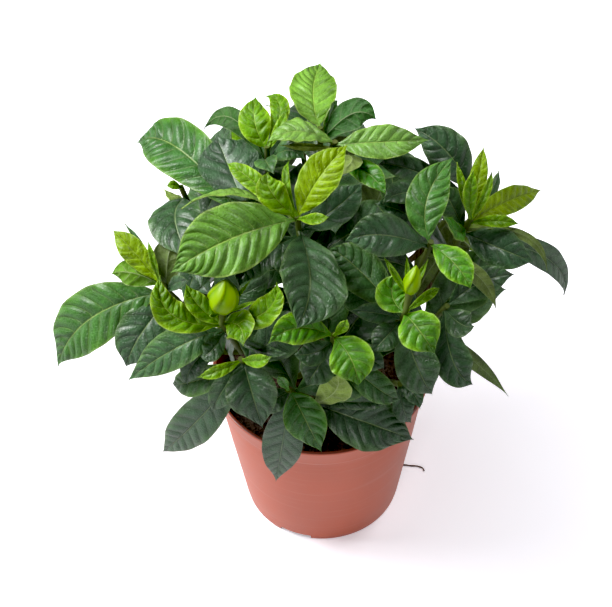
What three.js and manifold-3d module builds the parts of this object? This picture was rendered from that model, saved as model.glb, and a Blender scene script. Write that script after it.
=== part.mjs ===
// A gardenia in a 13 cm nursery pot: pot, soil, rootlet, woody cuttings, leafy shoots and two flower buds.
// Millimetres, +Z up, -Y is the front. The plant stands on z = 0.
import * as THREE from "three";
import { mergeVertices } from "three/addons/utils/BufferGeometryUtils.js";
import Module from "manifold-3d";

const wasm = await Module();
wasm.setup();

const GAP = 0.3;

const POT = {
  height: 110.5,
  rimRadius: 65,
  footRadius: 48,
  wall: 1.4,
  lipWidth: 2.2,
  lipHeight: 2,
  bandHeight: 15,
  bandStep: 0.7,
  floorRise: 4,
  floorThick: 1.4,
  footWall: 2.4,
  facets: 32,
  notchWidth: 20,
  notchHeight: 3.6,
  notchDeep: 16,
  notchTurns: [-22, 98, 218],
  drainRadius: 5,
  drainInset: 9,
  drainSides: 12,
};

const SOIL = { top: 97, mound: 4, rings: 2, spokes: 18, crumb: 2.6, inset: 0.4, holeSides: 12 };

// A root that has grown out of a drain hole: its route over the ground, and how far it thins to its end.
const ROOTLET = {
  radius: 0.7,
  sides: 6,
  steps: 16,
  thins: 0.35,
  route: [
    [36.5, 5.1, 4.9], [38.5, 5.3, 3], [42.5, 5.8, 1.3], [47, 6.6, 0.8], [52, 7.4, 0.7],
    [56.5, 6.6, 0.7], [60.5, 6.2, 0.7], [64, 4.6, 0.7], [65, 2.2, 0.7],
  ],
};

// Where the photograph was taken from: its aim, distance and tilt, and its focal length in pixels.
const VIEW = {
  aim: new THREE.Vector3(-8, 0, 169.1),
  distance: 1200,
  pitch: 49.01,
  roll: -1.34,
  focal: 2078,
  centre: [306, 303.5],
};

// The rounded crown that the leaf tips reach: an ellipsoid whose lower front draws in towards the rim,
// from one pixel row down, over so many rows, by so many millimetres.
const CROWN = {
  centre: new THREE.Vector3(-4, 4, 188),
  reach: new THREE.Vector3(143, 132, 106),
  skirt: { fromRow: 320, rows: 160, depth: 60, power: 1.4 },
};

// The plant's outline in the photograph, as an ellipse that leaves of the far side stay inside, and bays
// in it, as pixels and their radius, that they stay out of.
const OUTLINE = { centre: [310, 262], reach: [204, 166], bays: [[118, 214, 40], [500, 345, 50]] };

const BLADE = {
  ribThick: 1.2,
  sideThick: 0.8,
  petiole: 0.9,
  petioleShare: 0.06,
  fold: 17,
  curl: 0.24,
  wave: 0.07,
  waves: 2.3,
  outward: 0.3,
  leastFacing: 0.4,
  freeFrom: 0.2,
};

const STATIONS = [0.13, 0.36, 0.62, 0.86];
const PLAIN_STATIONS = [0.2, 0.5, 0.8];
const NARROW = 8.5;

// Stem radii, and how long a shoot's own green stem is: a share of the way to the fork, within limits.
// A shoot grows partly away from its fork and partly upwards.
const STEM = {
  green: 1.7, young: 1.5, wood: 2.3, trunk: [3.6, 3.6, 3.1, 2.6],
  sides: 5, trunkSides: 8, rootDepth: 28, clearOfSoil: 8,
  youngLength: 7, greenShare: 0.62, shortest: 26, longest: 62, away: 0.75, upwards: 0.4,
};

const COLOURS = {
  terracotta: 0xb4695c,
  soil: 0x2b201a,
  root: 0x4a3326,
  wood: 0x6e5a40,
  dark: 0x35502f,
  young: 0x86ad2c,
  bud: 0x93b71c,
};

const rad = THREE.MathUtils.degToRad;

function viewAxes() {
  const pitch = rad(VIEW.pitch);
  const roll = rad(VIEW.roll);
  const level = new THREE.Vector3(1, 0, 0);
  const rise = new THREE.Vector3(0, Math.sin(pitch), Math.cos(pitch));
  const right = level.clone().multiplyScalar(Math.cos(roll)).addScaledVector(rise, Math.sin(roll));
  const up = rise.clone().multiplyScalar(Math.cos(roll)).addScaledVector(level, -Math.sin(roll));
  const back = new THREE.Vector3(0, -Math.cos(pitch), Math.sin(pitch));
  const eye = VIEW.aim.clone().addScaledVector(back, VIEW.distance);
  return { right, up, back, eye };
}

const axes = viewAxes();

// The direction that a pixel looks along, scaled so that one unit is one millimetre of depth.
function rayOf([x, y]) {
  return axes.back
    .clone()
    .negate()
    .addScaledVector(axes.right, (x - VIEW.centre[0]) / VIEW.focal)
    .addScaledVector(axes.up, (VIEW.centre[1] - y) / VIEW.focal);
}

// The point seen at a pixel, so many millimetres nearer the camera than the aim.
function pointAt(pixel, depth) {
  return axes.eye.clone().addScaledVector(rayOf(pixel), VIEW.distance - depth);
}

function depthOf(point) {
  return point.clone().sub(VIEW.aim).dot(axes.back);
}

function pixelOf(point) {
  const from = point.clone().sub(axes.eye);
  const scale = VIEW.focal / -from.dot(axes.back);
  return [VIEW.centre[0] + from.dot(axes.right) * scale, VIEW.centre[1] - from.dot(axes.up) * scale];
}

// The depth at which a pixel's ray meets the crown, or passes it closest.
function crownDepth(pixel) {
  const from = axes.eye.clone().sub(CROWN.centre).divide(CROWN.reach);
  const along = rayOf(pixel).divide(CROWN.reach);
  const a = along.dot(along);
  const b = from.dot(along);
  const c = from.dot(from) - 1;
  const { fromRow, rows, depth, power } = CROWN.skirt;
  const drawnIn = depth * (Math.max(pixel[1] - fromRow, 0) / rows) ** power;
  return VIEW.distance + (b + Math.sqrt(Math.max(b * b - a * c, 0))) / a - drawnIn;
}

function crownNormal(point) {
  return point.clone().sub(CROWN.centre).divide(CROWN.reach).divide(CROWN.reach).normalize();
}

// A closed mesh of vertices and triangles as a solid.
function solidOf(vertices, triangles) {
  return new wasm.Manifold(
    new wasm.Mesh({
      numProp: 3,
      vertProperties: new Float32Array(vertices.flatMap((v) => [v.x, v.y, v.z])),
      triVerts: new Uint32Array(triangles.flat()),
    }),
  );
}

function solidOfGeometry(geometry) {
  geometry.deleteAttribute("normal");
  geometry.deleteAttribute("uv");
  const merged = mergeVertices(geometry, 1e-4);
  return new wasm.Manifold(
    new wasm.Mesh({
      numProp: 3,
      vertProperties: merged.attributes.position.array,
      triVerts: new Uint32Array(merged.index.array),
    }),
  );
}

function geometryOf(solid) {
  const mesh = solid.getMesh();
  const geometry = new THREE.BufferGeometry();
  geometry.setAttribute("position", new THREE.BufferAttribute(mesh.vertProperties, 3));
  geometry.setIndex(new THREE.BufferAttribute(mesh.triVerts, 1));
  geometry.computeVertexNormals();
  return geometry;
}

function join(solids) {
  return solids.reduce((whole, solid) => whole.add(solid));
}

// A tapered stem through points, with a flat cap at each end.
function stemSolid(points, radii, sides) {
  const chord = points.at(-1).clone().sub(points[0]).normalize();
  const across = Math.abs(chord.x) < 0.7 ? new THREE.Vector3(1, 0, 0) : new THREE.Vector3(0, 1, 0);
  const vertices = [];
  const triangles = [];
  points.forEach((point, i) => {
    const before = points[Math.max(i - 1, 0)];
    const after = points[Math.min(i + 1, points.length - 1)];
    const along = after.clone().sub(before).normalize();
    const u = across.clone().addScaledVector(along, -across.dot(along)).normalize();
    const v = along.clone().cross(u);
    for (let k = 0; k < sides; k++) {
      const turn = (2 * Math.PI * k) / sides;
      const spoke = u.clone().multiplyScalar(Math.cos(turn)).addScaledVector(v, Math.sin(turn));
      vertices.push(point.clone().addScaledVector(spoke, radii[i]));
    }
  });
  for (let i = 0; i + 1 < points.length; i++) {
    for (let k = 0; k < sides; k++) {
      const a = i * sides + k;
      const b = i * sides + ((k + 1) % sides);
      triangles.push([a, b, b + sides], [a, b + sides, a + sides]);
    }
  }
  const last = (points.length - 1) * sides;
  for (let k = 1; k + 1 < sides; k++) {
    triangles.push([0, k + 1, k], [last, last + k, last + k + 1]);
  }
  return solidOf(vertices, triangles);
}

// Half the blade's width along it, as a share of the widest: cuneate base, acuminate tip.
function bladeOutline(s) {
  const t = Math.max(s - BLADE.petioleShare, 0) / (1 - BLADE.petioleShare);
  return Math.sin(Math.PI * t ** 0.96) ** 0.75 * (1 - 0.35 * t ** 12);
}

// The midrib runs through base, mid and tip.
function midrib(leaf, s) {
  const pull = leaf.mid.clone().multiplyScalar(2);
  pull.addScaledVector(leaf.base, -0.5).addScaledVector(leaf.tip, -0.5);
  const point = leaf.base.clone().multiplyScalar((1 - s) ** 2);
  point.addScaledVector(pull, 2 * s * (1 - s)).addScaledVector(leaf.tip, s * s);
  const along = pull.clone().sub(leaf.base).multiplyScalar(1 - s);
  along.addScaledVector(leaf.tip.clone().sub(pull), s).normalize();
  const face = leaf.face.clone().addScaledVector(along, -leaf.face.dot(along)).normalize();
  return { point, along, face, side: along.clone().cross(face) };
}

// How far a blade stands above its midrib's plane at u across it, from -1 to 1.
function bladeRise(leaf, s, u, half) {
  const valley = Math.tan(rad(leaf.fold)) * Math.abs(u) - BLADE.curl * u * u;
  const turn = 2 * Math.PI * BLADE.waves * s + (u > 0 ? 0 : 2) + leaf.phase;
  const margin = leaf.wave * Math.abs(u) * Math.sin(turn);
  return half * (valley + margin);
}

// A thin closed blade, thickest along its midrib, whose two faces meet in one sharp margin.
function bladeSolid(leaf, grow = 0, from = 0) {
  const plain = leaf.plain || leaf.half < NARROW;
  const columns = plain ? [-1, 0, 1] : [-1, -0.5, 0, 0.5, 1];
  const inner = columns.length - 2;
  const vertices = [];
  const triangles = [];
  const ring = 2 * inner + 2;
  const stations = [from, ...(leaf.plain ? PLAIN_STATIONS : STATIONS).filter((s) => s > from)];
  for (const s of stations) {
    const { point, face, side } = midrib(leaf, s);
    const half = Math.max(leaf.half * bladeOutline(s), BLADE.petiole);
    const place = (u, lift) =>
      point
        .clone()
        .addScaledVector(side, u * (half + grow))
        .addScaledVector(face, bladeRise(leaf, s, u, half) + lift);
    const thick = (u) => (u === 0 ? BLADE.ribThick : BLADE.sideThick) / 2 + grow;
    for (const u of columns.slice(0, -1)) vertices.push(place(u, Math.abs(u) < 1 ? thick(u) : 0));
    for (const u of columns.slice(1).reverse()) vertices.push(place(u, Math.abs(u) < 1 ? -thick(u) : 0));
  }
  const tip = vertices.length;
  vertices.push(midrib(leaf, 1).point.addScaledVector(midrib(leaf, 1).along, grow));
  const rows = stations.length - 1;
  const top = (k, j) => k * ring + j;
  const bottom = (k, j) => k * ring + ((ring - j) % ring);
  for (let k = 0; k < rows; k++) {
    for (let j = 0; j <= inner; j++) {
      triangles.push([top(k, j), top(k, j + 1), top(k + 1, j + 1)]);
      triangles.push([top(k, j), top(k + 1, j + 1), top(k + 1, j)]);
      triangles.push([bottom(k, j), bottom(k + 1, j + 1), bottom(k, j + 1)]);
      triangles.push([bottom(k, j), bottom(k + 1, j), bottom(k + 1, j + 1)]);
    }
  }
  for (let j = 0; j <= inner; j++) {
    triangles.push([top(rows, j), top(rows, j + 1), tip]);
    triangles.push([bottom(rows, j), tip, bottom(rows, j + 1)]);
  }
  for (let j = 0; j <= inner; j++) {
    if (j > 0) triangles.push([top(0, j), bottom(0, j), top(0, j + 1)]);
    if (j < inner) triangles.push([bottom(0, j), bottom(0, j + 1), top(0, j + 1)]);
  }
  return solidOf(vertices, triangles);
}

// Each shoot: its crown as a pixel and its height over the plant's surface, the cutting that it grows
// from, and its leaves. A leaf has its tip and the middle of its midrib as pixels, its width as seen in
// pixels, the tip's height over the plant's surface, and where it grows, in millimetres below the crown.
const SHOOTS = [
  {
    name: "centre_top", crown: [297, 216], lift: -8, cutting: "front",
    young: [
      { tip: [170.5, 273], mid: [230, 239], wide: 72, lift: 16, below: 3, bow: 12 },
      { tip: [348, 144.5], mid: [319, 178], wide: 40, lift: 26, below: 2, roll: -8 },
      { tip: [268, 172.5], mid: [272, 193], wide: 30, lift: 12, below: 1 },
      { tip: [227, 163.5], mid: [253, 181], wide: 20, lift: 2, below: 4 },
      { tip: [181, 208.9], mid: [235, 193], wide: 8, lift: -8, below: 5, roll: 60 },
      { tip: [328.7, 217], mid: [315, 219], wide: 12, lift: 8, below: 2 },
      { tip: [289.3, 161], mid: [286, 182], wide: 8, lift: 4, below: 0 },
    ],
    dark: [
      { tip: [296.5, 329], mid: [310, 282], wide: 66, lift: 4, below: 12, bow: 8, fold: 27, roll: -27 },
      { tip: [239.5, 287.5], mid: [256, 258], wide: 36, lift: -8, below: 18 },
      { tip: [362, 183], mid: [337, 207], wide: 36, lift: -4, below: 14, bow: 4 },
    ],
  },
  {
    name: "back_top", crown: [320, 128], lift: -16, cutting: "back",
    young: [{ tip: [320.6, 62.8], mid: [313, 93], wide: 48, lift: 16, below: 2, fold: 22 }],
    dark: [
      { tip: [337.6, 100.4], mid: [331, 113], wide: 8, lift: 4, below: 11, roll: 55 },
      { tip: [376.5, 120], mid: [352, 114], wide: 32, lift: -8, below: 12, under: true },
    ],
  },
  {
    name: "top_right", crown: [335, 142], lift: -8, cutting: "back",
    young: [
      { tip: [267.4, 141.8], mid: [300, 131], wide: 24, lift: 2, below: 2, roll: 34 },
      { tip: [428.8, 140], mid: [381, 142], wide: 35, lift: 6, below: 2, bow: 9 },
      { tip: [281, 145.5], mid: [308, 147], wide: 8, lift: -3, below: 5, under: true },
    ],
    dark: [
      { tip: [333, 178], mid: [352, 160], wide: 22, lift: -8, below: 12, under: true },
      { tip: [386, 195], mid: [366, 172], wide: 24, lift: -10, below: 14 },
    ],
  },
  {
    name: "back_left", crown: [267, 147], lift: -12, cutting: "left",
    young: [
      { tip: [256, 96.5], mid: [255, 123], wide: 33, lift: 18, below: 2 },
      { tip: [265, 96], mid: [280, 109], wide: 20, lift: 8, below: 1 },
      { tip: [287, 110], mid: [279, 128], wide: 10, lift: 3, below: 4 },
    ],
    dark: [
      { tip: [204, 129], mid: [233, 119], wide: 23, lift: -10, below: 12, under: true },
      { tip: [274, 174], mid: [266, 161], wide: 24, lift: -2, below: 10 },
      { tip: [305, 160], mid: [288, 150], wide: 22, lift: -4, below: 11 },
    ],
  },
  {
    name: "left_top", crown: [244, 203], lift: -12, cutting: "left",
    dark: [
      { tip: [216.3, 135.8], mid: [229, 167], wide: 62, lift: 15, below: 3, roll: 12, fold: 22 },
      { tip: [137.3, 143], mid: [179, 149], wide: 58, lift: -6, below: 16, bow: 7 },
    ],
  },
  {
    name: "left_middle", crown: [181, 187], lift: -22, cutting: "left",
    young: [{ tip: [166, 186], mid: [174, 185], wide: 9, lift: -8, below: 1 }],
    dark: [{ tip: [191, 262], mid: [175, 219], wide: 54, lift: -4, below: 9, bow: 10 }],
  },
  {
    name: "left", crown: [160, 283], lift: -14, cutting: "left",
    young: [
      { tip: [112.7, 230], mid: [134, 252], wide: 25, lift: 12, below: 1 },
      { tip: [111.7, 274], mid: [133, 273], wide: 27, lift: 4, below: 4, under: true },
      { tip: [125, 223.8], mid: [142, 248], wide: 6, lift: 4, below: 2, roll: 50 },
      { tip: [148, 241], mid: [153, 260], wide: 7, lift: 8, below: 0 },
    ],
    dark: [
      { tip: [175, 234], mid: [168, 258], wide: 32, lift: 0, below: 10, under: true },
      { tip: [189, 281], mid: [176, 283], wide: 14, lift: 0, below: 11 },
      { tip: [57.8, 367], mid: [91, 318], wide: 60, lift: 4, below: 12, bow: 10 },
      { tip: [126, 367], mid: [141, 334], wide: 50, lift: -10, below: 18, bow: 6 },
    ],
  },
  {
    name: "bud_left", crown: [222, 324], lift: -10, cutting: "left",
    young: [
      { tip: [160.3, 275], mid: [171, 314], wide: 30, lift: 8, below: 3, bow: 6, roll: 22, wave: 0.2 },
      { tip: [186, 284], mid: [199, 306], wide: 22, lift: 6, below: 2, wave: 0.14 },
      { tip: [243, 346], mid: [239, 326], wide: 36, lift: 12, below: 2, wave: 0.12 },
      { tip: [276.5, 282], mid: [266, 311], wide: 28, lift: 0, below: 4, wave: 0.16 },
    ],
    dark: [
      { tip: [127.3, 381], mid: [176, 348], wide: 40, lift: 6, below: 11, bow: 10 },
      { tip: [289, 353], mid: [260, 349], wide: 11, lift: -4, below: 13 },
      { tip: [201, 356], mid: [212, 350], wide: 22, lift: -4, below: 12 },
      { tip: [187.5, 384.6], mid: [195, 362], wide: 24, lift: -8, below: 20 },
    ],
  },
  {
    name: "low_left", crown: [241, 359], lift: -10, cutting: "left",
    young: [
      { tip: [197.5, 377.3], mid: [219, 371], wide: 13, lift: 4, below: 3 },
      { tip: [271.4, 356.5], mid: [257, 361], wide: 14, lift: 4, below: 2 },
    ],
    dark: [
      { tip: [262.5, 427.7], mid: [251, 390], wide: 52, lift: 8, below: 10, bow: 9, fold: 20 },
      { tip: [212.5, 411.6], mid: [223, 390], wide: 25, lift: 0, below: 12 },
      { tip: [172.6, 383.2], mid: [196, 381], wide: 30, lift: -8, below: 17 },
      { tip: [162.5, 451.8], mid: [197, 421], wide: 42, lift: -8, below: 24, bow: 8 },
    ],
  },
  {
    name: "front", crown: [288, 390], lift: -14, cutting: "front",
    young: [{ tip: [278, 376], mid: [283, 382], wide: 10, lift: 0, below: 1 }],
    dark: [
      { tip: [275.9, 481.3], mid: [283, 440], wide: 41, lift: 2, below: 12, bow: 9 },
      { tip: [321.4, 451.8], mid: [304, 417], wide: 42, lift: 8, below: 9, bow: 8 },
      { tip: [262, 416], mid: [273, 401], wide: 24, lift: -14, below: 13 },
    ],
  },
  {
    name: "centre_low", crown: [334, 335], lift: -12, cutting: "front",
    young: [
      { tip: [268.8, 343], mid: [298, 328], wide: 34, lift: 3, below: 3, bow: 7 },
      { tip: [358.3, 386], mid: [351, 359], wide: 46, lift: 10, below: 3, bow: 7 },
      { tip: [347, 319.5], mid: [343, 327], wide: 11, lift: 4, below: 0 },
    ],
    dark: [
      { tip: [294, 354], mid: [313, 353], wide: 26, lift: -6, below: 12 },
      { tip: [306.5, 385], mid: [318, 367], wide: 36, lift: -4, below: 16 },
      { tip: [384, 368], mid: [366, 357], wide: 26, lift: -4, below: 14 },
      { tip: [400, 400], mid: [372, 384], wide: 30, lift: -6, below: 22 },
    ],
  },
  {
    name: "front_right", crown: [312, 404], lift: -22, cutting: "front",
    dark: [
      { tip: [413.7, 439.6], mid: [365, 422], wide: 56, lift: 6, below: 6, bow: 10 },
      { tip: [337, 374], mid: [335, 391], wide: 32, lift: 0, below: 2, under: true },
      { tip: [386, 404], mid: [360, 402], wide: 16, lift: -6, below: 4 },
    ],
  },
  {
    name: "bud_right", crown: [405, 312], lift: -10, cutting: "right",
    young: [
      { tip: [397, 272.7], mid: [392, 295], wide: 35, lift: 8, below: 2, wave: 0.1 },
      { tip: [439.6, 288], mid: [427, 296], wide: 10, lift: 6, below: 1 },
      { tip: [435, 353.6], mid: [419, 330], wide: 44, lift: 8, below: 3, bow: 7 },
    ],
    dark: [
      { tip: [329.7, 248.5], mid: [359, 270], wide: 46, lift: 0, below: 11, bow: 8 },
      { tip: [350, 311], mid: [376, 313], wide: 20, lift: -2, below: 13 },
      { tip: [432.2, 394.3], mid: [417, 366], wide: 44, lift: 2, below: 16, bow: 7 },
      { tip: [373, 352], mid: [386, 337], wide: 28, lift: -4, below: 18 },
      { tip: [508.1, 396.1], mid: [461, 352], wide: 17, lift: -10, below: 22, under: true },
    ],
  },
  {
    name: "low_right", crown: [400, 384], lift: -24, cutting: "right",
    dark: [
      { tip: [411, 422.5], mid: [403, 407], wide: 22, lift: -4, below: 3 },
      { tip: [420, 409], mid: [413, 393], wide: 18, lift: -4, below: 5 },
    ],
  },
  {
    name: "right", crown: [431, 242], lift: -10, cutting: "right",
    dark: [
      { tip: [453.8, 156.8], mid: [427, 199], wide: 42, lift: 18, below: 2, bow: 4, roll: -10 },
      { tip: [471, 289], mid: [455, 264], wide: 32, lift: 4, below: 2 },
      { tip: [345, 240.8], mid: [384, 235], wide: 44, lift: 6, below: 6, bow: 8 },
      { tip: [496, 309.4], mid: [474, 273], wide: 18, lift: -14, below: 14, under: true },
    ],
  },
  {
    name: "spear", crown: [471, 219], lift: -12, cutting: "right",
    young: [
      { tip: [483.7, 146.4], mid: [478, 180], wide: 18, lift: 26, below: 1 },
      { tip: [474, 169.5], mid: [470, 194], wide: 15, lift: 24, below: 0 },
      { tip: [457, 162], mid: [463, 190], wide: 9, lift: 18, below: 1 },
      { tip: [492, 170], mid: [485, 195], wide: 9, lift: 16, below: 2 },
      { tip: [541.6, 190], mid: [508, 201], wide: 27, lift: 10, below: 3 },
      { tip: [519, 224], mid: [497, 221], wide: 13, lift: 2, below: 4 },
    ],
    dark: [
      { tip: [498.5, 171], mid: [491, 192], wide: 11, lift: 6, below: 9, roll: 40 },
      { tip: [443.6, 186], mid: [451, 203], wide: 29, lift: 2, below: 10 },
      { tip: [443.5, 216], mid: [455, 230], wide: 19, lift: 4, below: 9, roll: 30 },
      { tip: [534, 262], mid: [499, 248], wide: 40, lift: -2, below: 13, bow: 6 },
      { tip: [563.8, 295.5], mid: [545, 257], wide: 27, lift: -8, below: 15, bow: 4 },
      { tip: [546.9, 270.3], mid: [524, 236], wide: 10, lift: 2, below: 11, under: true },
    ],
  },
  {
    name: "right_back", crown: [474, 187], lift: -22, cutting: "back",
    dark: [
      { tip: [414, 128], mid: [448, 153], wide: 44, lift: 0, below: 4 },
      { tip: [378, 164], mid: [412, 170], wide: 26, lift: -12, below: 8 },
      { tip: [383, 203], mid: [412, 192], wide: 26, lift: -14, below: 12 },
    ],
  },
  {
    name: "right_low", crown: [447, 306], lift: -28, cutting: "right",
    dark: [
      { tip: [515, 274.4], mid: [480, 283], wide: 30, lift: -8, below: 3 },
      { tip: [474, 326], mid: [461, 324], wide: 30, lift: -6, below: 5 },
      { tip: [473, 384.5], mid: [453, 361], wide: 38, lift: -4, below: 6, bow: 6 },
    ],
  },
];

// Where each cutting stands in the soil and where it forks.
const CUTTINGS = {
  front: { foot: [-2, -20], fork: [0, -16, 152] },
  left: { foot: [-22, 2], fork: [-28, 2, 148] },
  right: { foot: [22, -2], fork: [30, 2, 150] },
  back: { foot: [4, 20], fork: [4, 30, 150] },
};

// Leafy shoots on the far side, placed round the plant: turn from the back in degrees, rise towards the
// top as a share of the crown's reach, and whether young leaves top them.
const BACK_SHOOTS = [
  { turn: -80, rise: -0.2, young: false },
  { turn: -46, rise: -0.3, young: true },
  { turn: -10, rise: -0.25, young: false },
  { turn: 30, rise: -0.32, young: false },
  { turn: 66, rise: -0.22, young: true },
  { turn: -62, rise: 0.38, young: false },
  { turn: -22, rise: 0.34, young: true },
  { turn: 16, rise: 0.4, young: false },
  { turn: 54, rise: 0.34, young: false },
  { turn: -4, rise: 0.74, young: false },
];

// Short shoots under the leaves that show, on the near side: the same, with the cutting they grow from.
const UNDER_SHOOTS = [
  { turn: 90, rise: -0.34, cutting: "right" },
  { turn: 120, rise: -0.38, cutting: "right" },
  { turn: 156, rise: -0.5, cutting: "front" },
  { turn: 196, rise: -0.42, cutting: "front" },
  { turn: 234, rise: -0.46, cutting: "left" },
  { turn: 268, rise: -0.3, cutting: "left" },
  { turn: 181, rise: 0.32, cutting: "front" },
];

// Leaf pairs that follow a rule: how far below the crown they start, their spacing, length and opening.
// Those of a rule's shoot also have its crown's depth in the plant and its longest stem. Each leaf keeps a
// margin below the plant's surface.
const BACK = {
  depth: 0.66, stem: 80, first: 9, step: 16, pairs: 3, length: 68, open: 62, seed: 7, margin: -99,
};
const INNER = { first: 20, step: 14, pairs: 3, length: 66, open: 72, seed: 40, margin: 12 };
const UNDER = {
  depth: 0.5, stem: 44, first: 4, step: 12, pairs: 3, length: 64, open: 62, seed: 90, margin: 9,
};

// How a leaf that follows a rule is shaped: the shares of its length that it reaches, that its tip hangs and
// its middle arches, how far its face turns upwards, its width, and how much each of these varies.
const RULED = {
  reach: 0.97, hang: 0.14, arch: 0.05, upwards: 0.5,
  shortest: 0.82, longer: 0.36, narrowest: 0.4, wider: 0.08,
  openingVaries: 18, turnVaries: 20, startVaries: 50, bendPer: 60, clearOfFoot: 3,
};
const YOUNG_PAIR = { first: 2, length: 40, open: 28 };

// The bends that a leaf tries, in order, until it is clear of its neighbours: its tip and the middle of
// its midrib move this far towards the camera, in millimetres, and it rolls by so many degrees.
const BENDS = [];
for (const size of [0, 4, 8, 12, 17, 23]) {
  for (const sign of size ? [1, -1] : [1]) {
    for (const middle of [0.5, 1, 0]) {
      for (const roll of [0, 14, -14]) BENDS.push({ tip: sign * size, mid: sign * size * middle, roll });
    }
  }
}

function randomFrom(seed) {
  let state = seed;
  return () => {
    state = (state + 0x6d2b79f5) | 0;
    let t = Math.imul(state ^ (state >>> 15), 1 | state);
    t = (t + Math.imul(t ^ (t >>> 7), 61 | t)) ^ t;
    return ((t ^ (t >>> 14)) >>> 0) / 4294967296;
  };
}

function mix(a, b, share) {
  return a.clone().lerp(b, share);
}

function mixed(a, b, share) {
  return a + (b - a) * share;
}

// A shoot's line: its crown, the direction it grows in and where its own green stem starts.
function shootLine(crown, cutting) {
  const fork = new THREE.Vector3(...CUTTINGS[cutting].fork);
  const away = crown.clone().sub(fork);
  const reach = away.length();
  const along = away.normalize().multiplyScalar(STEM.away).add(new THREE.Vector3(0, 0, STEM.upwards)).normalize();
  const length = Math.min(Math.max(reach * STEM.greenShare, STEM.shortest), STEM.longest);
  return { crown, along, fork, foot: crown.clone().addScaledVector(along, -length), length };
}

function woodyBranch(line) {
  const end = line.foot.clone().addScaledVector(line.along, -GAP);
  const pull = end.clone().addScaledVector(line.along, -0.5 * end.distanceTo(line.fork));
  const curve = new THREE.QuadraticBezierCurve3(line.fork, pull, end);
  const points = curve.getPoints(2);
  points.splice(2, 0, end.clone().addScaledVector(line.along, -3));
  const radii = points.map((_, i) => mixed(STEM.wood, STEM.green, i / (points.length - 1)));
  return stemSolid(points, radii, STEM.sides);
}

function trunk(cutting) {
  const [x, y] = cutting.foot;
  const top = new THREE.Vector3(...cutting.fork);
  const root = new THREE.Vector3(x, y, SOIL.top - STEM.rootDepth);
  const collar = new THREE.Vector3(x, y, SOIL.top + STEM.clearOfSoil);
  const middle = mix(collar, top, 0.5).add(new THREE.Vector3(0, 0, 2));
  const end = top.clone().add(new THREE.Vector3(0, 0, 3));
  return stemSolid([root, collar, middle, end], STEM.trunk, STEM.trunkSides);
}

// A row of the table as a blade in space.
function seenLeaf(row, line, bend) {
  const base = line.crown.clone().addScaledVector(line.along, -row.below);
  const tipDepth = crownDepth(row.tip) + row.lift;
  const midDepth = (depthOf(base) + tipDepth) / 2 + (row.bow ?? 5);
  const tip = pointAt(row.tip, tipDepth + bend.tip);
  const mid = pointAt(row.mid, midDepth + bend.mid);
  const chord = tip.clone().sub(base).normalize();
  const face = axes.back.clone().lerp(crownNormal(mid), BLADE.outward);
  face.addScaledVector(chord, -face.dot(chord)).normalize();
  if (row.under) face.negate();
  face.applyAxisAngle(chord, rad((row.roll ?? 0) + bend.roll));
  const across = axes.back.clone().cross(chord).normalize();
  const facing = Math.max(Math.abs(chord.clone().cross(face).dot(across)), BLADE.leastFacing);
  const half = ((row.wide / 2) * (VIEW.distance - midDepth)) / VIEW.focal / facing;
  const wave = row.wave ?? BLADE.wave;
  return { base, mid, tip, face, half, fold: row.fold ?? BLADE.fold, wave, phase: row.tip[0] + row.tip[1] };
}

const placed = [];

function boxesMeet(a, b) {
  return [0, 1, 2].every((i) => a.min[i] <= b.max[i] && b.min[i] <= a.max[i]);
}

function place(node, solid, outer) {
  placed.push({ node, solid, outer, box: solid.boundingBox() });
}

// Whether a leaf crosses a piece placed earlier. Leaves of its own node may meet it only near the base.
function crosses(leaf, node) {
  const whole = bladeSolid(leaf, GAP);
  const outer = bladeSolid(leaf, 0, BLADE.freeFrom);
  const box = whole.boundingBox();
  return placed.some((other) => {
    if (!boxesMeet(box, other.box)) return false;
    if (other.node !== node) return !whole.intersect(other.solid).isEmpty();
    return other.outer !== undefined && !outer.intersect(other.outer).isEmpty();
  });
}

// Bends a leaf clear of everything placed before it. Returns whether it found room.
function placeLeaf(node, makeLeaf) {
  for (const bend of BENDS) {
    const leaf = makeLeaf(bend);
    if (crosses(leaf, node)) continue;
    place(node, bladeSolid(leaf), bladeSolid(leaf, 0, BLADE.freeFrom));
    return true;
  }
  return false;
}

// Flower buds: five ridges wound round an oval on a stalk, with slender sepals. The bud's top and the
// sepals' tips are pixels, each with its height over the plant's surface.
const BUD = { ridges: 5, ridge: 0.09, twist: 1.3, around: 15, rings: 5, sepalFold: 20, sepalWave: 0.02 };
const BUDS = {
  bud_left: {
    node: "flower_bud_left", top: [225, 279.5], lift: 8, radius: 8.3, stalk: 6.5,
    sepals: [
      { tip: [251.8, 278.4], wide: 3.5, lift: 2 },
      { tip: [255.3, 301], wide: 4, lift: 4 },
      { tip: [210, 316], wide: 3.5, lift: 4 },
    ],
  },
  bud_right: {
    node: "flower_bud_right", top: [416.5, 265.3], lift: 6, radius: 4.7, stalk: 9,
    sepals: [
      { tip: [383.3, 256], wide: 6, lift: -2 },
      { tip: [388.4, 264.5], wide: 6, lift: 4 },
      { tip: [406.7, 255], wide: 5, lift: -6 },
      { tip: [428.3, 259.5], wide: 6, lift: 0 },
    ],
  },
};

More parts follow.
